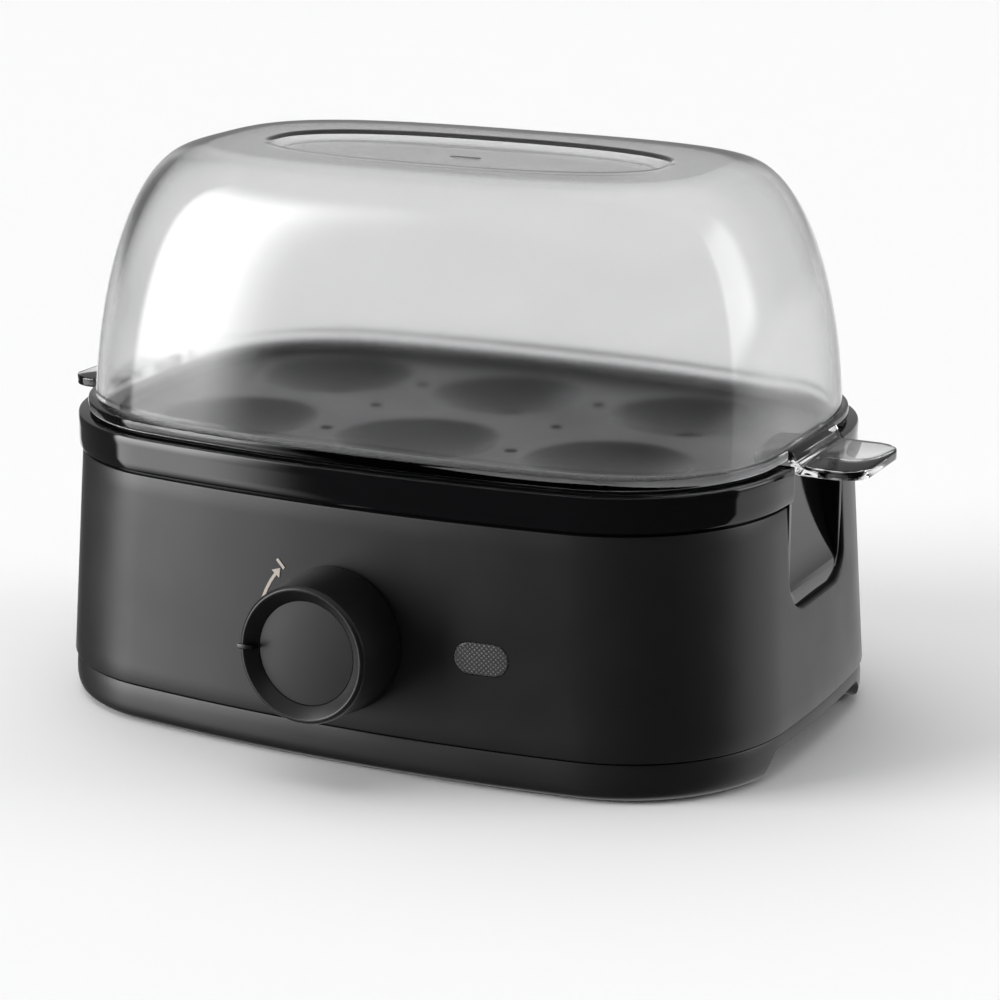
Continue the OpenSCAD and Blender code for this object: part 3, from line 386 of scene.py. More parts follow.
def outline(a, b, inset=0.0):
    """Closed plan outline of half sizes a and b, drawn in by inset"""
    body = bpy.context.scene.cooker_body
    a = a - inset
    b = b - inset
    r = body.corner_radius - inset
    front = body.front_bow - inset
    end = body.end_bow - inset
    cx, cy = corner_centre(a, b, r, front, end)
    end_turn = math.atan2(cy, cx - (a - end))
    front_turn = math.atan2(cy - (b - front), cx)
    quarter = arc(a - end, 0, end, 0, end_turn, END_STEPS)
    quarter += arc(cx, cy, r, end_turn, front_turn, CORNER_STEPS)[1:]
    quarter += arc(0, b - front, front, front_turn, math.pi / 2, FRONT_STEPS)[1:]
    n = len(quarter) - 1
    points = list(quarter)
    points += [(-quarter[n - i][0], quarter[n - i][1]) for i in range(1, n + 1)]
    points += [(-quarter[i][0], -quarter[i][1]) for i in range(1, n + 1)]
    points += [(quarter[n - i][0], -quarter[n - i][1]) for i in range(1, n)]
    return points


def seam_half():
    body = bpy.context.scene.cooker_body
    return body.length / 2, body.depth / 2


def shoulder_half():
    body = bpy.context.scene.cooker_body
    return (body.length - body.length_taper) / 2, (body.depth - body.depth_taper) / 2


def level(points, z):
    return [Vector((x, y, z)) for x, y in points]


def shoulder_ring(inset, z):
    a, b = shoulder_half()
    return level(outline(a, b, inset), z)


def seam_ring(inset, z):
    a, b = seam_half()
    return level(outline(a, b, inset), z)


def wall_ring(inset, z):
    """Outline of the tapered body at a height"""
    share = (z - HOUSING_LOW.z) / (HOUSING_HIGH.z - HOUSING_LOW.z)
    low = seam_ring(inset, z)
    high = shoulder_ring(inset, z)
    return [p.lerp(q, share) for p, q in zip(low, high)]


def wall_lean():
    body = bpy.context.scene.cooker_body
    return math.atan2(body.depth_taper / 2, HOUSING_HIGH.z - HOUSING_LOW.z)


def end_face(y, z, half_length):
    """How far out an end face is at a distance across it"""
    end = bpy.context.scene.cooker_body.end_bow
    return half_length - end + math.sqrt(end * end - y * y)


def front_place(x, z, back=False):
    """Matrix that carries a piece from flat to the front wall, its Z out of the wall"""
    body = bpy.context.scene.cooker_body
    bow = body.front_bow
    y = body.depth / 2 - (z - HOUSING_LOW.z) * math.tan(wall_lean()) - bow + math.sqrt(bow * bow - x * x)
    turn = Matrix.Rotation(math.asin(x / bow), 4, "Z")
    tip = Matrix.Rotation(math.pi / 2 - wall_lean(), 4, "X")
    place = Matrix.Translation((x, -y, z)) @ turn @ tip
    if back:
        place = Matrix.Rotation(math.pi, 4, "Z") @ place
    return Matrix.Translation(MIDDLE) @ place


# ---------- mesh building ----------


def loft(rings, loop=False, caps=False):
    """Points and faces of a skin through rings of the same count"""
    count = len(rings[0])
    points = [Vector(p) for ring in rings for p in ring]
    faces = []
    spans = len(rings) if loop else len(rings) - 1
    for k in range(spans):
        low = k * count
        high = ((k + 1) % len(rings)) * count
        for j in range(count):
            right = (j + 1) % count
            faces.append((low + j, low + right, high + right, high + j))
    if caps:
        faces.append(tuple(reversed(range(count))))
        faces.append(tuple(range(len(points) - count, len(points))))
    return points, faces


def soften(profile, radius, steps=3):
    """Rounds the corners of a closed profile, leaving those on the axis"""
    rounded = []
    count = len(profile)
    for i in range(count):
        corner = Vector(profile[i])
        if abs(corner.x) < TINY:
            rounded.append(corner)
            continue
        before = Vector(profile[i - 1]) - corner
        after = Vector(profile[(i + 1) % count]) - corner
        reach = min(radius, before.length * 0.45, after.length * 0.45)
        first = corner + before.normalized() * reach
        last = corner + after.normalized() * reach
        for k in range(steps + 1):
            t = k / steps
            rounded.append(first.lerp(corner, t).lerp(corner.lerp(last, t), t))
    return rounded


def turned(profile, steps=128):
    """Skin of a closed profile of radius and height, turned about Z"""
    rings = []
    for radius, z in profile:
        ring = []
        for i in range(steps):
            turn = 2 * math.pi * i / steps
            ring.append(Vector((radius * math.cos(turn), radius * math.sin(turn), z)))
        rings.append(ring)
    return loft(rings, loop=True)


def joined(*skins):
    """One skin out of several"""
    points = []
    faces = []
    for part_points, part_faces in skins:
        first = len(points)
        points += [Vector(p) for p in part_points]
        faces += [tuple(first + i for i in face) for face in part_faces]
    return points, faces


def moved(skin, matrix):
    points, faces = skin
    return [matrix @ Vector(p) for p in points], list(faces)


def new_object(name, skin):
    """Mesh object from a skin, doubled points merged and faces turned outward"""
    points, faces = skin
    mesh = bpy.data.meshes.new(name)
    mesh.from_pydata([tuple(p) for p in points], [], faces)
    work = bmesh.new()
    work.from_mesh(mesh)
    bmesh.ops.remove_doubles(work, verts=work.verts, dist=0.000002)
    bmesh.ops.dissolve_degenerate(work, edges=work.edges, dist=0.000001)
    bmesh.ops.recalc_face_normals(work, faces=work.faces)
    work.to_mesh(mesh)
    work.free()
    thing = bpy.data.objects.new(name, mesh)
    bpy.context.scene.collection.objects.link(thing)
    return thing


def bake(thing):
    """Applies an object's modifiers"""
    graph = bpy.context.evaluated_depsgraph_get()
    graph.update()
    mesh = bpy.data.meshes.new_from_object(thing.evaluated_get(graph))
    thing.modifiers.clear()
    old = thing.data
    thing.data = mesh
    bpy.data.meshes.remove(old)


def carve(thing, skin, operation="DIFFERENCE"):
    """Cuts a skin out of an object, or joins or crosses the two"""
    tool = new_object("tool", skin)
    cut = thing.modifiers.new("cut", "BOOLEAN")
    cut.operation = operation
    cut.solver = "EXACT"
    cut.object = tool
    before = (len(thing.data.polygons), len(thing.data.vertices))
    bake(thing)
    bpy.data.objects.remove(tool)
    after = (len(thing.data.polygons), len(thing.data.vertices))
    if after[0] == 0 or after == before:
        raise RuntimeError("a cut left " + thing.name + " as it was, or empty")


def round_edges(thing, width):
    """Rounds an object's sharp edges"""
    rounding = thing.modifiers.new("round", "BEVEL")
    rounding.width = width
    rounding.segments = 2
    rounding.limit_method = "ANGLE"
    rounding.angle_limit = math.radians(30)
    rounding.use_clamp_overlap = True
    bake(thing)


def dress(thing, name, body, slot, material, *nodes, turn=32.0):
    """Names an object, shades it, gives it its material and ties it to the frame"""
    thing.name = name
    thing.data.name = name
    thing.data.materials.clear()
    for each in material if isinstance(material, list) else [material]:
        thing.data.materials.append(each)
    thing.data.shade_smooth()
    thing.data.set_sharp_from_angle(angle=math.radians(turn))
    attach(thing, body)
    if nodes:
        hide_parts(*nodes)
    return thing


def centred(thing):
    """Carries an object built about the body's middle to its place"""
    thing.data.transform(Matrix.Translation(MIDDLE))


def pill(length, height, low, high, edge=0.0, steps=24):
    """Skin of a flat pill, long way along X, its top edge rounded"""
    rings = []
    stations = [(0.0, low)]
    if edge > 0:
        for k in range(5):
            turn = math.pi / 2 * k / 4
            stations.append((edge * (1 - math.cos(turn)), high - edge + edge * math.sin(turn)))
    else:
        stations.append((0.0, high))
    for inset, z in stations:
        r = height / 2 - inset
        half = (length - height) / 2
        right = [(half + x, y) for x, y in arc(0, 0, r, -math.pi / 2, math.pi / 2, steps)]
        left = [(x - half, y) for x, y in arc(0, 0, r, math.pi / 2, math.pi * 1.5, steps)]
        rings.append(level(right + left, z))
    return loft(rings, caps=True)


def block(low, high):
    """Skin of a box between two corners"""
    x0, y0, z0 = low
    x1, y1, z1 = high
    base = [(x0, y0), (x1, y0), (x1, y1), (x0, y1)]
    return loft([level(base, z0), level(base, z1)], caps=True)


def rod(radius, low, high, x=0.0, y=0.0, steps=48):
    """Skin of an upright rod"""
    circle = arc(x, y, radius, 0, 2 * math.pi, steps)[:-1]
    return loft([level(circle, low), level(circle, high)], caps=True)


def notch_path(half_width, bottom, radius, top, grow=0.0):
    """U-shaped outline across an end, as distance across and height"""
    w = half_width + grow
    z = bottom - grow
    r = radius + grow
    path = []
    for k in range(13):
        path.append((-w, top + (z + r - top) * k / 12))
    path += arc(-w + r, z + r, r, math.pi, math.pi * 1.5, 14)[1:]
    for k in range(1, 13):
        path.append((-w + r + (2 * (w - r)) * k / 12, z))
    path += arc(w - r, z + r, r, math.pi * 1.5, math.pi * 2, 14)[1:]
    for k in range(1, 13):
        path.append((w, z + r + (top - z - r) * k / 12))
    return path


def notch_tool(half_width, bottom, radius, top, lip, surface, inner_x=None, room=None):
    """Skin that cuts a U-shaped notch with a rounded rim through an end face"""
    rings = []
    path = notch_path(half_width, bottom, radius, top)
    if inner_x is not None:
        rings.append([Vector((inner_x, y, z)) for y, z in path])
    for k in range(7):
        turn = math.pi / 2 * k / 6
        grow = lip * (1 - math.cos(turn))
        ring = []
        for y, z in notch_path(half_width, bottom, radius, top, grow):
            most = lip if room is None else max(0.0001, min(lip, room(y, z)))
            ring.append(Vector((surface(y, z) - most * (1 - math.sin(turn)), y, z)))
        rings.append(ring)
    grown = notch_path(half_width, bottom, radius, top, lip)
    rings.append([Vector((surface(y, z) + 0.012, y, z)) for y, z in grown])
    return loft(rings, caps=True)


HALF_TURN = Matrix.Rotation(math.pi, 4, "Z")


# ---------- finishes ----------


def shader(name):
    """New material with its shader and the object-space coordinates to draw on"""
    material = bpy.data.materials.new(name)
    material.use_nodes = True
    nodes = material.node_tree.nodes
    links = material.node_tree.links
    nodes.clear()
    out = nodes.new("ShaderNodeOutputMaterial")
    surface = nodes.new("ShaderNodeBsdfPrincipled")
    links.new(surface.outputs["BSDF"], out.inputs["Surface"])
    where = nodes.new("ShaderNodeTexCoord")
    return material, nodes, links, surface, where.outputs["Object"]


def noise(nodes, links, where, scale, detail=2.0, stretch=None):
    """Noise in object space, stretched along an axis for drawn or turned metal"""
    texture = nodes.new("ShaderNodeTexNoise")
    texture.inputs["Scale"].default_value = scale
    texture.inputs["Detail"].default_value = detail
    if stretch:
        mapping = nodes.new("ShaderNodeMapping")
        mapping.inputs["Scale"].default_value = stretch
        links.new(where, mapping.inputs["Vector"])
        where = mapping.outputs["Vector"]
    links.new(where, texture.inputs["Vector"])
    return texture.outputs["Fac"]


def spread(nodes, links, value, low, high, from_low=0.3, from_high=0.7):
    """A value's range stretched to another range"""
    ranged = nodes.new("ShaderNodeMapRange")
    ranged.inputs["From Min"].default_value = from_low
    ranged.inputs["From Max"].default_value = from_high
    ranged.inputs["To Min"].default_value = low
    ranged.inputs["To Max"].default_value = high
    links.new(value, ranged.inputs["Value"])
    return ranged.outputs["Result"]


def blend_colours(nodes, links, share, first, second):
    """Mix of two colours, each a fixed one or another node's"""
    mix = nodes.new("ShaderNodeMix")
    mix.data_type = "RGBA"
    links.new(share, mix.inputs["Factor"])
    for name, colour in (("A", first), ("B", second)):
        if isinstance(colour, bpy.types.NodeSocket):
            links.new(colour, mix.inputs[name])
        else:
            mix.inputs[name].default_value = (*colour, 1.0)
    return mix.outputs["Result"]


def shade(colour, share):
    """A colour made darker or lighter"""
    return tuple(min(1.0, part * share) for part in colour)


def raised(nodes, links, surface, height, distance, strength=1.0):
    """Fine relief from a height"""
    bump = nodes.new("ShaderNodeBump")
    bump.inputs["Distance"].default_value = distance
    bump.inputs["Strength"].default_value = strength
    links.new(height, bump.inputs["Height"])
    links.new(bump.outputs["Normal"], surface.inputs["Normal"])


def moulded(name, colour, rough, grain=900.0, relief=0.00002, vary=0.04, spec=0.5, edge_highlight=0.25):
    """Moulded plastic: fine grain, slight changes of sheen, and a painted highlight that makes its sharp edges a
    little lighter
    """
    material, nodes, links, surface, where = shader(name)
    patches = noise(nodes, links, where, 35.0, 3.0)
    fine = noise(nodes, links, where, grain, 3.0)
    base = blend_colours(nodes, links, spread(nodes, links, patches, 0.0, 1.0), shade(colour, 0.93),
                         shade(colour, 1.07))
    # painted highlight: sharp edges, found by their pointiness, are made lighter in the colour
    edges = nodes.new("ShaderNodeNewGeometry").outputs["Pointiness"]
    highlight_share = spread(nodes, links, edges, 0.0, edge_highlight, 0.54, 0.62)
    highlighted_colour = blend_colours(nodes, links, highlight_share, base, shade(colour, 2.2))
    links.new(highlighted_colour, surface.inputs["Base Color"])
    links.new(spread(nodes, links, patches, rough - vary, rough + vary), surface.inputs["Roughness"])
    surface.inputs["Specular IOR Level"].default_value = spec
    raised(nodes, links, surface, fine, relief)
    return material


def metal(name, colour, rough, stretch=(1.0, 1.0, 1.0), grain=700.0, vary=0.08, relief=0.000006):
    """Metal with a drawn, turned or plated surface"""
    material, nodes, links, surface, where = shader(name)
    lines = noise(nodes, links, where, grain, 4.0, stretch)
    patches = noise(nodes, links, where, 60.0, 3.0)
    base = blend_colours(nodes, links, spread(nodes, links, patches, 0.0, 1.0), shade(colour, 0.88), colour)
    links.new(base, surface.inputs["Base Color"])
    links.new(spread(nodes, links, lines, rough - vary, rough + vary), surface.inputs["Roughness"])
    surface.inputs["Metallic"].default_value = 1.0
    raised(nodes, links, surface, lines, relief)
    return material


def clear_plastic(name, tint, rough, relief=0.0, grain=1400.0, grazing_shade=1.0):
    """Clear plastic, polished, or frosted by a fine texture, its colour darkened where it is seen along its wall:
    a painted shade for the grey that such slanted walls show
    """
    material, nodes, links, surface, where = shader(name)
    patches = noise(nodes, links, where, 25.0, 2.0)
    base = blend_colours(nodes, links, spread(nodes, links, patches, 0.0, 1.0), shade(tint, 0.985), tint)
    # painted shade: where the wall is seen at a slant, its colour is darkened
    facing = nodes.new("ShaderNodeLayerWeight").outputs["Facing"]
    grazing_share = spread(nodes, links, facing, 0.0, 1.0, 0.45, 0.95)
    links.new(blend_colours(nodes, links, grazing_share, base, shade(tint, grazing_shade)), surface.inputs["Base Color"])
    vary = rough * 0.08
    links.new(spread(nodes, links, patches, rough - vary, rough + vary), surface.inputs["Roughness"])
    surface.inputs["Transmission Weight"].default_value = 1.0
    surface.inputs["IOR"].default_value = 1.45
    if relief:
        fine = noise(nodes, links, where, grain, 2.0)
        raised(nodes, links, surface, fine, relief, 0.6)
    return material


def window_plastic(name, colour):
    """Diffusing window: a fine woven pattern of ribs under a satin face"""
    material, nodes, links, surface, where = shader(name)
    waves = []
    for turn in (math.radians(45), math.radians(-45)):
        mapping = nodes.new("ShaderNodeMapping")
        mapping.inputs["Rotation"].default_value = (0.0, turn, 0.0)
        links.new(where, mapping.inputs["Vector"])
        ribs = nodes.new("ShaderNodeTexWave")
        ribs.bands_direction = "X"
        ribs.inputs["Scale"].default_value = 320.0
        ribs.inputs["Distortion"].default_value = 0.0
        links.new(mapping.outputs["Vector"], ribs.inputs["Vector"])
        waves.append(ribs.outputs["Fac"])
    product = nodes.new("ShaderNodeMath")
    product.operation = "MULTIPLY"
    links.new(waves[0], product.inputs[0])
    links.new(waves[1], product.inputs[1])
    weave = product.outputs["Value"]
    base = blend_colours(nodes, links, spread(nodes, links, weave, 0.0, 1.0, 0.1, 0.7), shade(colour, 0.55),
                         shade(colour, 1.35))
    links.new(base, surface.inputs["Base Color"])
    links.new(spread(nodes, links, weave, 0.30, 0.42), surface.inputs["Roughness"])
    raised(nodes, links, surface, weave, 0.00008)
    return material


FINISHES = {}


def make_finishes():
    scene = bpy.context.scene
    body = scene.cooker_body
    collar = scene.cooker_collar
    lid = scene.cooker_lid
    tray = scene.cooker_tray
    knob = scene.cooker_knob
    base = scene.cooker_base
    FINISHES["matte_black"] = moulded("satin_black", tuple(body.colour), body.roughness)
    FINISHES["gloss_black"] = moulded("gloss_black", tuple(collar.colour), 0.07, 300.0, 0.0000015, 0.02,
                                      edge_highlight=0.1)
    FINISHES["basin_black"] = moulded("basin_black", tuple(tray.basin_colour), 0.32, 700.0, 0.000012)
    FINISHES["tray_dark"] = moulded("tray_grey", tuple(tray.colour), 0.38, 900.0, 0.000015)
    FINISHES["lid_frosted"] = clear_plastic("lid_frosted", tuple(lid.tint), lid.frost, 0.000004, grazing_shade=0.6)
    FINISHES["lid_polished"] = clear_plastic("lid_polished", tuple(lid.tint), 0.03, grazing_shade=0.6)
    FINISHES["lid_clear"] = clear_plastic("lid_clear", tuple(lid.tint), 0.03, grazing_shade=0.95)
    FINISHES["knob_black"] = moulded("knob_black", tuple(knob.colour), 0.34, 1100.0, 0.000008, 0.03)
    FINISHES["knob_disc_grey"] = moulded("knob_disc", tuple(knob.disc_colour), 0.42, 1400.0, 0.00001, 0.03)
    FINISHES["knob_pointer"] = moulded("pointer_black", (0.002, 0.002, 0.002), 0.25, 900.0, 0.000003)
    FINISHES["lens_grey"] = window_plastic("lamp_window", tuple(knob.lens_colour))
    FINISHES["print_beige"] = moulded("dial_print", tuple(knob.print_colour), 0.55, 1500.0, 0.000004,
                                      edge_highlight=0.0)
    FINISHES["foot_rubber"] = moulded("foot_rubber", tuple(base.foot_colour), 0.7, 500.0, 0.00003)
    FINISHES["gasket_rubber"] = moulded("gasket_rubber", (0.16, 0.03, 0.02), 0.6, 500.0, 0.00003)
    FINISHES["phenolic"] = moulded("phenolic", (0.12, 0.045, 0.018), 0.4, 600.0, 0.00002)
    FINISHES["nylon_white"] = moulded("nylon_white", (0.72, 0.71, 0.67), 0.42, 800.0, 0.00001)
    FINISHES["sleeve_white"] = moulded("sleeve_white", (0.66, 0.65, 0.6), 0.8, 1600.0, 0.00006)
    FINISHES["lead_brown"] = moulded("lead_brown", (0.09, 0.035, 0.014), 0.4, 900.0, 0.00001)
    FINISHES["lead_blue"] = moulded("lead_blue", (0.015, 0.045, 0.28), 0.4, 900.0, 0.00001)
    FINISHES["lead_grey"] = moulded("lead_grey", (0.25, 0.25, 0.25), 0.4, 900.0, 0.00001)
    FINISHES["stainless"] = metal("stainless_dish", (0.60, 0.60, 0.61), 0.28, (1.0, 14.0, 1.0))
    FINISHES["element_steel"] = metal("element_steel", (0.26, 0.25, 0.25), 0.5, (1.0, 1.0, 1.0), 300.0)
    FINISHES["screw_steel"] = metal("zinc_plate", (0.55, 0.56, 0.58), 0.32, (1.0, 1.0, 1.0), 500.0)
    FINISHES["thermostat_can"] = metal("thermostat_can", (0.50, 0.49, 0.47), 0.36, (8.0, 1.0, 1.0))
    FINISHES["timer_plate"] = metal("timer_plate", (0.55, 0.52, 0.44), 0.34, (12.0, 1.0, 1.0))
    FINISHES["brass"] = metal("brass", (0.64, 0.46, 0.20), 0.3, (1.0, 6.0, 1.0))
    FINISHES["fuse_body"] = metal("fuse_body", (0.50, 0.46, 0.38), 0.3, (10.0, 1.0, 1.0))
    FINISHES["neon_glass"] = clear_plastic("neon_glass", (0.95, 0.72, 0.55), 0.06)


# ---------- operators ----------


class COOKER_OT_finishes(Operator):
    """Make the finishes and give each carried-over solid its own"""

    bl_idname = "cooker.finishes"
    bl_label = "Finishes"

    def execute(self, context):
        make_finishes()
        for subpart in frame["record"]["subparts"]:
            node = frame["nodes"][subpart["node"]]
            slot = subpart["material_slot"]
            finish = FINISHES["lid_clear"] if slot == "lid_smoke" else FINISHES[slot]
            if not node.data.materials:
                node.data.materials.append(finish)
            for i in range(len(node.data.materials)):
                node.data.materials[i] = finish
        return {"FINISHED"}


class COOKER_OT_housing(Operator):
    """Build the tapered housing with its two notches and its openings"""

    bl_idname = "cooker.housing"
    bl_label = "Housing"

    def execute(self, context):
        body = context.scene.cooker_body
        collar = context.scene.cooker_collar
        knob = context.scene.cooker_knob
        low = HOUSING_LOW.z
        high = HOUSING_HIGH.z
        edge = body.edge
        heights = [low + edge + (high - low - 2 * edge) * i / 12 for i in range(13)]
        rings = [wall_ring(edge, low), wall_ring(edge * 0.3, low + edge * 0.3)]
        rings += [wall_ring(0.0, z) for z in heights]
        rings += [wall_ring(edge * 0.3, high - edge * 0.3), wall_ring(edge, high)]
        rings += [wall_ring(body.wall, z) for z in (high, high - 0.03, low + 0.02, low)]
        housing = new_object("housing_cover", loft(rings, loop=True))
        half = body.length / 2
        taper = body.length_taper / 2 / (high - low)

        def surface(y, z):
            return end_face(y, z, half - (min(z, high) - low) * taper)

        notch = notch_tool(collar.notch_half_width, collar.notch_bottom, collar.notch_radius, high + 0.006,
                           collar.lip, surface, inner_x=half - 0.016)
        carve(housing, notch)
        carve(housing, moved(notch, HALF_TURN))
        centred(housing)
        window = pill(knob.lens_length + 0.0003, knob.lens_height + 0.0003, -0.006, 0.004)
        carve(housing, moved(window, front_place(knob.lens_offset, KNOB_JOINT["pos_m"][2])))
        carve(housing, moved(rod(0.005, -0.006, 0.004), front_place(0.0, KNOB_JOINT["pos_m"][2])))
        gland = rod(context.scene.cooker_base.gland_bore + 0.0029, -0.006, 0.004)
        carve(housing, moved(gland, front_place(0.0, GLAND_HEIGHT, back=True)))
        dress(housing, "housing_cover", "base", "matte_black", FINISHES["matte_black"], "housing")
        return {"FINISHED"}


class COOKER_OT_collar(Operator):
    """Build the glossy band, its seat and the scooped finger recesses"""

    bl_idname = "cooker.collar"
    bl_label = "Collar"

    def execute(self, context):
        collar = context.scene.cooker_collar
        high = COLLAR_HIGH.z
        low = high - collar.band_height
        shoulder = HOUSING_HIGH.z
        e = 0.0007
        outer = -collar.proud
        profile = [
            (outer + 0.0025, shoulder), (outer + 0.0025, low), (outer + e, low),
            (outer + e * 0.3, low + e * 0.3),
            (outer, low + e), (outer, low + 0.003), (outer, high - 0.003), (outer, high - e),
            (outer + e * 0.3, high - e * 0.3), (outer + e, high), (collar.bore - e, high),
            (collar.bore - e * 0.3, high - e * 0.3), (collar.bore, high - e), (collar.bore, high - 0.004),
            (collar.bore, low + 0.003), (collar.bore, low + 0.002), (collar.bore + 0.007, low + 0.002),
            (collar.bore + 0.007, low), (collar.bore, low), (0.0051, low - 0.0005),
            (0.0051, shoulder - 0.006),
            (0.0031, shoulder - 0.006), (0.0031, shoulder),
        ]
        ring = new_object("collar_band", loft([shoulder_ring(inset, z) for inset, z in profile], loop=True))
        half = shoulder_half()[0]
        back = half + collar.proud - collar.recess_depth
        foot = half + 0.0007
        skin = 0.002
        clearance = 0.0003
        inset = skin + clearance
        drop = high - collar.notch_bottom - skin
        radius = (drop * drop + (foot - back) ** 2) / (2 * (foot - back))
        turn_y = Matrix.Rotation(math.pi / 2, 4, "X")

        def scoop(extra):
            lying = rod(radius + extra, -0.04, 0.04, steps=512)
            return moved(lying, Matrix.Translation((back + radius, 0, high)) @ turn_y)

        def u_prism(half_width, bottom, corner, inner_x, surface):
            path = notch_path(half_width, bottom, corner, high)
            return loft([[Vector((inner_x, y, z)) for y, z in path],
                         [Vector((surface(y, z), y, z)) for y, z in path]], caps=True)

        def flush(y, z):
            return end_face(y, z, half + 0.0003)

        def rim_surface(y, z):
            return end_face(y, z, half + (collar.proud if z > low - 0.0002 else 0.0003))

        def rim_room(y, z):
            up = min(z, high) - high
            return rim_surface(y, z) - (back + radius - math.sqrt(radius * radius - up * up))

        shell = u_prism(collar.notch_half_width - clearance, collar.notch_bottom + clearance,
                        collar.notch_radius, half - 0.02, flush)
        hollow = u_prism(collar.notch_half_width - inset, collar.notch_bottom + inset,
                         collar.notch_radius - skin, half - 0.02, lambda y, z: half + 0.02)
        hollow_points = [Vector((p.x, p.y, p.z + (0.004 if p.z > high - 0.00001 else 0.0)))
                         for p in hollow[0]]
        hollow = (hollow_points, hollow[1])
        cup = new_object("cup", shell)
        carve(cup, scoop(skin), "INTERSECT")
        room = new_object("room", hollow)
        carve(room, scoop(0.0), "INTERSECT")
        rim = notch_tool(collar.notch_half_width - inset, collar.notch_bottom + inset,
                         collar.notch_radius - skin, high + 0.004, collar.lip * 0.8, rim_surface,
                         room=rim_room)
        carve(ring, mesh_skin(cup), "UNION")
        carve(ring, mesh_skin(room))
        carve(ring, rim)
        bpy.data.objects.remove(cup)
        bpy.data.objects.remove(room)
        repeated(ring)
        centred(ring)
        dress(ring, "collar_band", "base", "gloss_black", FINISHES["gloss_black"], "rim_collar", turn=28)
        return {"FINISHED"}


def repeated(thing):
    """Keeps an object's right half and repeats it at the left, turned half way round"""
    work = bmesh.new()
    work.from_mesh(thing.data)
    whole = work.verts[:] + work.edges[:] + work.faces[:]
    bmesh.ops.bisect_plane(work, geom=whole, plane_co=(0, 0, 0), plane_no=(1, 0, 0), clear_inner=True)
    copy = bmesh.ops.duplicate(work, geom=work.verts[:] + work.edges[:] + work.faces[:])
    corners = [each for each in copy["geom"] if isinstance(each, bmesh.types.BMVert)]
    bmesh.ops.rotate(work, verts=corners, cent=(0, 0, 0), matrix=HALF_TURN.to_3x3())
    bmesh.ops.remove_doubles(work, verts=work.verts, dist=0.000005)
    work.to_mesh(thing.data)
    work.free()


def mesh_skin(thing):
    """Points and faces of an object, to use it as a skin"""
    mesh = thing.data
    return [v.co.copy() for v in mesh.vertices], [tuple(f.vertices) for f in mesh.polygons]


class COOKER_OT_base(Operator):
    """Build the skirt with its finger gaps, the feet and the gland"""

    bl_idname = "cooker.base"
    bl_label = "Base"

    def execute(self, context):
        body = context.scene.cooker_body
        base = context.scene.cooker_base
        seam = HOUSING_LOW.z
        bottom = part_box("base_plate")[0].z
        floor = bottom + base.floor
        profile = [
            (0.0160, bottom), (0.0050, bottom), (0.0024, bottom), (0.0019, bottom + 0.00035),
            (0.0015, bottom + 0.0007), (0.0011, bottom + 0.0012), (0.0008, bottom + 0.0018),
            (0.00052, bottom + 0.0030), (0.00035, bottom + 0.0042), (0.0004, bottom + 0.0070),
            (0.0007, seam - 0.0010), (0.0009, seam - 0.0006), (0.0014, seam - 0.0005),
            (0.0030, seam - 0.0005),
            (0.0030, seam + 0.003), (0.0048, seam + 0.003), (0.0048, floor + 0.004), (0.0048, floor),
            (0.0160, floor),
        ]
        rings = [seam_ring(inset, z) for inset, z in profile]
        skirt = new_object("base_skirt", loft(rings, caps=True))
        a, b = seam_half()
        half = a - base.grip_inset
        for side in (Matrix.Identity(4), HALF_TURN):
            wall = self.gap(base, half - 0.002, a - 0.0045, 0.002, bottom + 0.001)
            carve(skirt, moved(wall, side), "UNION")
            carve(skirt, moved(self.gap(base, half, a + 0.003, 0.0, -0.003), side))
        slot_pitch = 0.012
        slot_x = 0.0015
        slot_y = 0.014
        for i in range(-3, 4):
            x = i * slot_pitch
            carve(skirt, block((x - slot_x, -slot_y, -0.001), (x + slot_x, slot_y, 0.006)))
        foot_x = a - base.foot_inset_x
        foot_y = b - base.foot_inset_y
        foot_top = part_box("feet")[1].z
        screw_x = 0.070
        screw_y = b - 0.015
        feet = []
        for sx in (-1, 1):
            for sy in (-1, 1):
                carve(skirt, rod(base.foot_radius + 0.0002, -0.001, foot_top, sx * foot_x, sy * foot_y, 64))
                carve(skirt, rod(0.0036, -0.001, 0.0040, sx * screw_x, sy * screw_y))
                r = base.foot_radius
                profile = [(0, foot_top), (0, 0.0004), (r * 0.6, 0.0004), (r * 0.66, 0), (r, 0),
                           (r, foot_top)]
                pad = turned(soften(profile, 0.0004), 64)
                feet.append(moved(pad, Matrix.Translation((sx * foot_x, sy * foot_y, 0))))
        centred(skirt)
        dress(skirt, "base_skirt", "base", "matte_black", FINISHES["matte_black"], "base_plate", turn=30)
        pads = new_object("foot_pads", joined(*feet))
        centred(pads)
        dress(pads, "foot_pads", "base", "foot_rubber", FINISHES["foot_rubber"], "feet")
        bore = base.gland_bore
        inner = -body.wall - 0.0003
        profile = [
            (bore, inner - 0.002), (bore + 0.005, inner - 0.002), (bore + 0.005, inner),
            (bore + 0.0027, inner),
            (bore + 0.0027, 0.0002), (bore + 0.005, 0.0002), (bore + 0.005, 0.002), (bore + 0.0038, 0.0032),
            (bore, 0.0032),
        ]
        bush = new_object("lead_bush", turned(soften(profile, 0.0004), 96))
        bush.data.transform(front_place(0.0, GLAND_HEIGHT, back=True))
        dress(bush, "lead_bush", "base", "foot_rubber", FINISHES["foot_rubber"], "cord_gland")
        return {"FINISHED"}

    def gap(self, base, inner, outer, grow, low):
        """Skin of the finger gap under one end, its two ends swept out towards the bottom"""
        steps = 16
        swept = []
        for i in range(steps + 1):
            t = i / steps
            z = (base.grip_height + grow) * t * t * (3 - 2 * t)
            swept.append((base.grip_half_width + grow + base.grip_sweep * (1 - t), max(z, low)))
        if low < 0:
            swept.insert(0, (swept[0][0], low))
        section = swept + [(-y, z) for y, z in reversed(swept)]
        return loft([[Vector((x, y, z)) for y, z in section] for x in (inner, outer)], caps=True)


def sign_power(value, power):
    return math.copysign(abs(value) ** power, value)


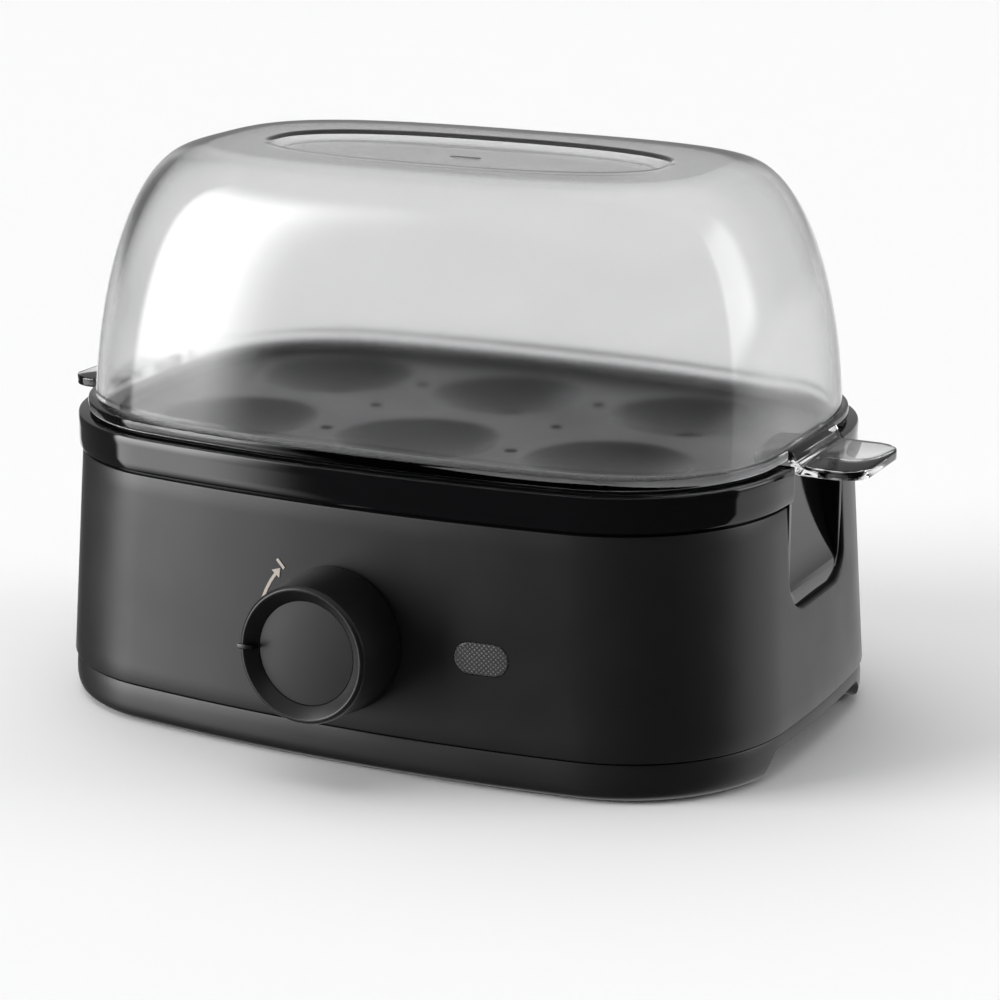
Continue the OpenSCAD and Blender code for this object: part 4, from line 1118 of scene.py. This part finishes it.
def dome_ring(half_length, half_depth, z, power, guide):
    """Level outline of the dome, its points spread as the flange's are"""
    ring = []
    for x, y in guide:
        turn = math.atan2(sign_power(y, power / 2), sign_power(x, power / 2))
        px = half_length * sign_power(math.cos(turn), 2 / power)
        py = half_depth * sign_power(math.sin(turn), 2 / power)
        ring.append(Vector((px, py, z)))
    return ring


class COOKER_OT_lid(Operator):
    """Build the lid: frosted dome, polished flange and two stepped grip tabs"""

    bl_idname = "cooker.lid"
    bl_label = "Lid"

    def execute(self, context):
        lid = context.scene.cooker_lid
        high = LID_HIGH.z
        flange_low = LID_LOW.z + lid.tab_drop
        flange_high = flange_low + lid.flange
        a, b = shoulder_half()
        flange = outline(a, b, lid.flange_inset)
        flange_a = a - lid.flange_inset
        flange_b = b - lid.flange_inset
        guide = [(x / flange_a, y / flange_b) for x, y in flange]
        crown_a = lid.foot_half_length * lid.crown_length
        crown_b = lid.foot_half_depth * lid.crown_depth
        levels = 40

        def side(u, inset, foot, top):
            along = max(0.0, 1 - u ** 2.03) ** (1 / 2.11)
            across = max(0.0, 1 - u ** 1.2) ** (1 / 3.18)
            return dome_ring(crown_a - inset + (lid.foot_half_length - crown_a) * along,
                             crown_b - inset + (lid.foot_half_depth - crown_b) * across,
                             foot + (top - foot) * u, 3.77 - 0.57 * u, guide)

        def top(inset, z):
            dish_a = crown_a * 0.8 - inset
            dish_b = crown_b * 0.66 - inset
            rings = []
            for shrink, drop in ((0.040, 1.0), (0.024, 1.0), (0.012, 1.0), (0.0050, 1.0), (0.0042, 0.97),
                                 (0.0036, 0.90), (0.0018, 0.50), (0.0010, 0.32), (0.0004, 0.10),
                                 (-0.0002, 0.0), (-0.0010, 0.0)):
                share = min(shrink, dish_b * 0.9) / dish_b
                length = dish_a - shrink if shrink < 0.01 else dish_a * (1 - share)
                depth = dish_b - shrink if shrink < 0.01 else dish_b * (1 - share)
                rings.append(dome_ring(length, depth, z - lid.dish_depth * drop, 2.5, guide))
            between_a = (dish_a + crown_a - inset) / 2
            between_b = (dish_b + crown_b - inset) / 2
            rings.append(dome_ring(between_a, between_b, z, 2.85, guide))
            return rings

        heights = [1 - (1 - i / levels) ** 2.2 for i in range(levels + 1)]
        e = 0.0006
        rings = top(0.0, high)
        rings += [side(u, 0.0, flange_high, high) for u in reversed(heights)]
        for inset, z in ((e, flange_high), (e * 0.3, flange_high - e * 0.3), (0.0, flange_high - e),
                         (0.0, flange_low + e), (e * 0.3, flange_low + e * 0.3), (e, flange_low)):
            rings.append(level(outline(a, b, lid.flange_inset + inset), z))
        rings += [side(u, lid.wall, flange_low, high - lid.wall) for u in heights]
        rings += list(reversed(top(0.0, high - lid.wall)))
        dome = new_object("lid_dome", loft(rings, caps=True))
        tip = LID_HIGH.x
        tab = self.tab(lid, flange_a, flange_low, flange_high, tip)
        carve(dome, tab, "UNION")
        carve(dome, moved(tab, HALF_TURN), "UNION")
        carve(dome, pill(lid.slot_length, lid.slot_width, high - 0.006, high + 0.002))
        centred(dome)
        walls = [FINISHES["lid_clear"], FINISHES["lid_polished"], FINISHES["lid_frosted"]]
        dress(dome, "lid_dome", "cover", "lid_smoke", walls, "lid", turn=40)
        inside = Vector((0.0, MIDDLE.y, flange_high + 0.02))
        for face in dome.data.polygons:
            inward = face.normal.dot(face.center - inside) < 0
            if face.center.z > flange_high + 0.0003:
                face.material_index = 2 if inward else 1
        return {"FINISHED"}

    def tab(self, lid, flange_a, flange_low, flange_high, tip):
        """Skin of one tab: root in the flange, a step down, and a tongue with round corners"""
        corner = 0.008
        drop = lid.tab_drop
        stations = [(flange_a - 0.0016, flange_a - 0.0016, 0.0)]
        for k in range(9):
            share = k / 8
            fall = share * share * (3 - 2 * share)
            stations.append((flange_a + 0.0003 + 0.0028 * share, flange_a - 0.0009 + 0.0028 * share, fall))
        start = flange_a + 0.005
        for k in range(1, 13):
            x = start + (tip - start) * math.sin(math.pi / 2 * k / 12)
            stations.append((x, x, 1.0))
        rings = []
        for top_x, low_x, fall in stations:
            past = max(0.0, top_x - (tip - corner))
            half = lid.tab_half_width - (corner - math.sqrt(max(0.0, corner * corner - past * past)))
            if top_x >= tip - TINY:
                half = lid.tab_half_width - corner
            edge = 0.0006
            near = max(0.0, (top_x - (tip - edge)) / edge)
            thin = lid.flange / 2 - edge * (1 - math.sqrt(max(0.0, 1 - near * near)))
            high = Vector((top_x, 0, flange_high - 0.00004 - drop * fall))
            low = Vector((low_x, 0, flange_low + 0.00004 - drop * fall))
            section = []
            for cx, cy, first in ((half - edge, thin - edge, 0), (edge - half, thin - edge, 90),
                                  (edge - half, edge - thin, 180), (half - edge, edge - thin, 270)):
                for k in range(5):
                    turn = math.radians(first + 90 * k / 4)
                    section.append((cx + edge * math.cos(turn), cy + edge * math.sin(turn)))
            ring = []
            for across, up in section:
                share = 0.5 + up / lid.flange
                point = low.lerp(high, share)
                ring.append(Vector((point.x, across, point.z)))
            rings.append(ring)
        return loft(rings, caps=True)


class COOKER_OT_tray(Operator):
    """Build the egg tray with its six drained wells, and the basin below it"""

    bl_idname = "cooker.tray"
    bl_label = "Tray and basin"

    def execute(self, context):
        tray = context.scene.cooker_tray
        collar = context.scene.cooker_collar
        high = TRAY_HIGH.z
        top = COLLAR_HIGH.z - 0.002
        low = top - tray.wall
        outer = collar.bore + 0.0008
        inner = outer + tray.wall
        lip = 0.005
        profile = [
            (outer + 0.0012, low), (outer + 0.0004, low + 0.0003), (outer, low + 0.001),
            (outer, high - 0.001), (lip + 0.0003, high - 0.001), (lip, high - 0.0007), (lip, high - 0.0004),
            (lip + 0.0004, high), (inner - 0.0006, high), (inner - 0.0002, high - 0.0002),
            (inner, high - 0.0006),
            (inner + 0.0001, top + 0.0012), (inner + 0.0005, top + 0.0004), (inner + 0.0013, top),
        ]
        plate = new_object("tray_plate", loft([shoulder_ring(inset, z) for inset, z in profile], caps=True))
        wells = [(i * tray.pitch, j * tray.pitch / 2) for i in (-1, 0, 1) for j in (-1, 1)]
        reach = tray.well_radius + 0.0014
        for x, y in wells:
            carve(plate, rod(reach, low - 0.002, top + 0.002, x, y, 96))
        for x in (-1, 1):
            for y in (-1, 0, 1):
                place_x = x * tray.pitch / 2
                place_y = y * tray.pitch / 2
                carve(plate, rod(tray.steam_radius, low - 0.002, top + 0.002, place_x, place_y, 32))
        ball = (tray.well_radius ** 2 + tray.well_depth ** 2) / (2 * tray.well_depth)
        centre = top - tray.well_depth + ball
        dish = [(reach, top), (tray.well_radius + 0.0006, top), (tray.well_radius - 0.0002, top - 0.0002)]
        for k in range(13):
            r = tray.well_radius - 0.001 + (tray.drain_radius - tray.well_radius + 0.001) * k / 12
            dish.append((r, centre - math.sqrt(ball * ball - r * r)))
        for k in range(13):
            r = tray.drain_radius + (tray.well_radius + 0.0002 - tray.drain_radius) * k / 12
            dish.append((r, centre - math.sqrt((ball + tray.wall) ** 2 - r * r)))
        dish.append((reach, low))
        pan = turned(dish, 96)
        pan_copies = [moved(pan, Matrix.Translation((x, y, 0))) for x, y in wells]
        pans = new_object("tray_wells", joined(*pan_copies))
        for piece, name in ((plate, "tray_plate"), (pans, "tray_wells")):
            centred(piece)
            dress(piece, name, "tray", "tray_dark", FINISHES["tray_dark"], "egg_tray", turn=35)
        self.basin(context)
        return {"FINISHED"}

    def basin(self, context):
        collar = context.scene.cooker_collar
        rim = BASIN_HIGH.z
        ledge = rim - 0.0015
        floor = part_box("basin_gasket")[0].z
        low = BASIN_LOW.z
        outer = collar.bore + 0.0006
        wall = collar.bore + 0.0077
        inner = wall + 0.002
        opening = 0.0512
        profile = [
            (outer, ledge), (outer, rim - 0.0003), (outer + 0.0003, rim), (inner - 0.0008, rim),
            (inner - 0.0002, rim - 0.0003), (inner, rim - 0.001), (inner + 0.0002, floor + 0.004),
            (inner + 0.0008, floor + 0.0014), (inner + 0.002, floor + 0.0003), (inner + 0.004, floor),
        ]
        rings = [shoulder_ring(inset, z) for inset, z in profile]
        for share in (0.3, 0.65, 1.0):
            ring = []
            for p in shoulder_ring(inner + 0.004, floor):
                flat = Vector((p.x, p.y))
                goal = flat.normalized() * opening
                mixed = flat.lerp(goal, share)
                ring.append(Vector((mixed.x, mixed.y, floor)))
            rings.append(ring)
        rings.append([Vector((p.x, p.y, low)) for p in rings[-1]])
        rings += [shoulder_ring(wall + 0.001, low), shoulder_ring(wall, low + 0.001)]
        rings.append(shoulder_ring(wall, ledge))
        basin = new_object("basin_pan", loft(rings, loop=True))
        centred(basin)
        dress(basin, "basin_pan", "base", "basin_black", FINISHES["basin_black"], "water_basin", turn=35)


class COOKER_OT_knob(Operator):
    """Build the timer knob with its dished face, disc and pointer, and the lamp's window"""

    bl_idname = "cooker.knob"
    bl_label = "Knob and lamp window"

    def execute(self, context):
        knob = context.scene.cooker_knob
        height = KNOB_JOINT["pos_m"][2]
        place = front_place(0.0, height)
        disc_radius = knob.rim_radius * knob.disc_share
        floor = knob.reach - knob.dish
        chamfer = 0.0008
        rim = knob.rim_radius - chamfer
        profile = [
            (0, knob.gap), (knob.base_radius - 0.0003, knob.gap), (knob.base_radius, knob.gap + 0.0003),
            (knob.base_radius, knob.gap + 0.0015), (knob.rim_radius, knob.reach - chamfer),
            (rim, knob.reach), (rim - 0.0006, knob.reach), (disc_radius + 0.0001, floor + 0.0001),
            (disc_radius + 0.0001, floor - 0.001),
            (0, floor - 0.001),
        ]
        cap = new_object("knob_cap", turned(soften(profile, 0.00022, 3), 192))
        cap.data.transform(place)
        dress(cap, "knob_cap", "dial", "knob_black", FINISHES["knob_black"], "knob", turn=24)
        profile = [(0, floor - 0.001), (disc_radius, floor - 0.001), (disc_radius, floor), (0, floor)]
        disc = new_object("knob_face_disc", turned(soften(profile, 0.0002, 3), 192))
        disc.data.transform(place)
        dress(disc, "knob_face_disc", "dial", "knob_disc_grey", FINISHES["knob_disc_grey"], "knob_disc")
        far = -knob.rim_radius - 0.0005
        near = -disc_radius - 0.0003
        half = knob.pointer_width / 2
        strip = block((far, -half, floor - 0.0004), (near, half, knob.reach + 0.0004))
        bar = new_object("knob_pointer_bar", strip)
        round_edges(bar, 0.0002)
        bar.data.transform(place)
        dress(bar, "knob_pointer_bar", "dial", "gloss_black", FINISHES["knob_pointer"], "knob_pointer")
        place = front_place(knob.lens_offset, height)
        glass = pill(knob.lens_length, knob.lens_height, -0.0027, 0.0003, 0.0005)
        brim = pill(knob.lens_length + 0.003, knob.lens_height + 0.003, -0.0043, -0.0027)
        window = new_object("lamp_window", joined(glass, brim))
        window.data.transform(place)
        dress(window, "lamp_window", "base", "lens_grey", FINISHES["lens_grey"], "lamp_lens")
        return {"FINISHED"}


def aim(thing, place, goal):
    thing.location = place
    thing.rotation_mode = "QUATERNION"
    thing.rotation_quaternion = (Vector(goal) - Vector(place)).to_track_quat("-Z", "Y")


class COOKER_OT_stage(Operator):
    """Lay the floor and set the lights, the sky and the camera"""

    bl_idname = "cooker.stage"
    bl_label = "Stage"

    def execute(self, context):
        stage = context.scene.cooker_stage
        self.camera(context, stage)
        self.floor(stage)
        self.sky(context, stage)
        self.lights()
        context.scene.view_settings.view_transform = "Standard"
        return {"FINISHED"}

    def camera(self, context, stage):
        lens = bpy.data.cameras.new("camera")
        lens.sensor_width = 36.0
        lens.lens = stage.lens
        lens.clip_start = 0.01
        lens.clip_end = 100.0
        camera = bpy.data.objects.new("camera", lens)
        context.scene.collection.objects.link(camera)
        goal = Vector((stage.aim_right, MIDDLE.y, stage.aim_height))
        level_part = math.cos(stage.elevation)
        away = Vector((math.sin(stage.azimuth) * level_part, -math.cos(stage.azimuth) * level_part,
                       math.sin(stage.elevation)))
        aim(camera, goal + away * stage.distance, goal)
        context.scene.camera = camera

    def floor(self, stage):
        half = stage.floor_size / 2
        corners = [(-half, -half, 0), (half, -half, 0), (half, half, 0), (-half, half, 0)]
        floor = new_object("floor", (corners, [(0, 1, 2, 3)]))
        material, nodes, links, surface, where = shader("floor_pale")
        surface.inputs["Base Color"].default_value = (*stage.floor_colour, 1.0)
        surface.inputs["Roughness"].default_value = 0.9
        surface.inputs["Specular IOR Level"].default_value = 0.2
        floor.data.materials.append(material)
        floor.visible_glossy = False
        floor.visible_shadow = False

    def sky(self, context, stage):
        """A tall bright panel at the left, one at the right rear, dimmer ones round the back, and a ceiling

        Angles are degrees to the right of the front, and heights run from -1 at the foot to 1 overhead.
        """
        world = bpy.data.worlds.new("studio")
        world.use_nodes = True
        context.scene.world = world
        nodes = world.node_tree.nodes
        links = world.node_tree.links
        nodes.clear()
        out = nodes.new("ShaderNodeOutputWorld")
        glow = nodes.new("ShaderNodeBackground")
        glow.inputs["Color"].default_value = (1.0, 1.0, 1.0, 1.0)
        where = nodes.new("ShaderNodeTexCoord")
        parts = nodes.new("ShaderNodeSeparateXYZ")
        links.new(where.outputs["Generated"], parts.inputs["Vector"])

        def sum_of(operation, first, second):
            node = nodes.new("ShaderNodeMath")
            node.operation = operation
            for i, each in enumerate((first, second)):
                if isinstance(each, float):
                    node.inputs[i].default_value = each
                else:
                    links.new(each, node.inputs[i])
            return node.outputs["Value"]

        def step(value, start, end, low=0.0, high=1.0):
            result = spread(nodes, links, value, low, high, start, end)
            result.node.interpolation_type = "SMOOTHSTEP"
            return result

        toward = sum_of("MULTIPLY", parts.outputs["Y"], -1.0)
        turn = sum_of("MULTIPLY", sum_of("ARCTAN2", parts.outputs["X"], toward), math.degrees(1))
        height = parts.outputs["Z"]
        ceiling_start = 0.50
        ceiling_full = 0.72
        past_right = step(turn, 102.0, 105.0)
        left = sum_of("MULTIPLY", step(turn, -71.0, -66.0), step(turn, -32.0, -43.0))
        left = sum_of("MULTIPLY", left, step(height, -0.60, -0.30, 0.0, stage.left_panel))
        left = sum_of("MULTIPLY", left, step(height, -0.20, 0.10, 1.0, 2.2))
        right = sum_of("MULTIPLY", past_right, step(turn, 140.0, 128.0))
        right = sum_of("MULTIPLY", right, step(height, 0.0, 0.12, 0.0, stage.right_panel))
        back = sum_of("ADD", past_right, step(turn, -125.0, -135.0))
        low = step(height, 0.02, -0.08, stage.back_panel * 0.3, stage.back_panel)
        dim = step(turn, -66.0, -72.0, stage.shade, stage.shade * 7)
        panels = sum_of("ADD", left, sum_of("ADD", right, sum_of("MULTIPLY", back, low)))
        panels = sum_of("ADD", panels, dim)
        lit = sum_of("MULTIPLY", panels, step(height, ceiling_full, ceiling_start))
        strength = sum_of("ADD", lit, step(height, ceiling_start, ceiling_full, 0.0, stage.ceiling))
        seen = nodes.new("ShaderNodeLightPath")
        through = sum_of("MULTIPLY", seen.outputs["Is Transmission Ray"], back)
        strength = sum_of("MAXIMUM", strength, through)
        strength = sum_of("MAXIMUM", strength, seen.outputs["Is Camera Ray"])
        links.new(strength, glow.inputs["Strength"])
        links.new(glow.outputs["Background"], out.inputs["Surface"])

    def lights(self):
        """A soft lamp from the back left that lights the floor alone"""
        lamp = bpy.data.lights.new("floor_lamp", "SUN")
        lamp.energy = 1.3
        lamp.angle = math.radians(60)
        thing = bpy.data.objects.new("floor_lamp", lamp)
        bpy.context.scene.collection.objects.link(thing)
        aim(thing, (-0.55, 0.30, 2.0), (0.0, 0.0, 0.0))
        lit = bpy.data.collections.new("lit_by_floor_lamp")
        lit.objects.link(bpy.data.objects["floor"])
        thing.light_linking.receiver_collection = lit


class COOKER_PT_panel(Panel):
    """Lists the cooker's pieces"""

    bl_idname = "COOKER_PT_panel"
    bl_label = "Egg cooker"
    bl_space_type = "VIEW_3D"
    bl_region_type = "UI"
    bl_category = "Egg cooker"

    def draw(self, context):
        for operator in OPERATORS:
            self.layout.operator(operator.bl_idname)
        for name in SIZES:
            box = self.layout.box()
            box.label(text=SIZES[name].__doc__)
            for each in SIZES[name].__annotations__:
                box.prop(getattr(context.scene, name), each)


OPERATORS = [
    COOKER_OT_finishes,
    COOKER_OT_housing,
    COOKER_OT_collar,
    COOKER_OT_base,
    COOKER_OT_lid,
    COOKER_OT_tray,
    COOKER_OT_knob,
    COOKER_OT_stage,
]


def register():
    for kind in [*SIZES.values(), *OPERATORS, COOKER_PT_panel]:
        bpy.utils.register_class(kind)
    for name, kind in SIZES.items():
        setattr(bpy.types.Scene, name, PointerProperty(type=kind))


def unregister():
    for name in SIZES:
        delattr(bpy.types.Scene, name)
    for kind in reversed([*SIZES.values(), *OPERATORS, COOKER_PT_panel]):
        bpy.utils.unregister_class(kind)


def main():
    register()
    for operator in OPERATORS:
        group, name = operator.bl_idname.split(".")
        getattr(getattr(bpy.ops, group), name)()


if __name__ == "__main__":
    main()
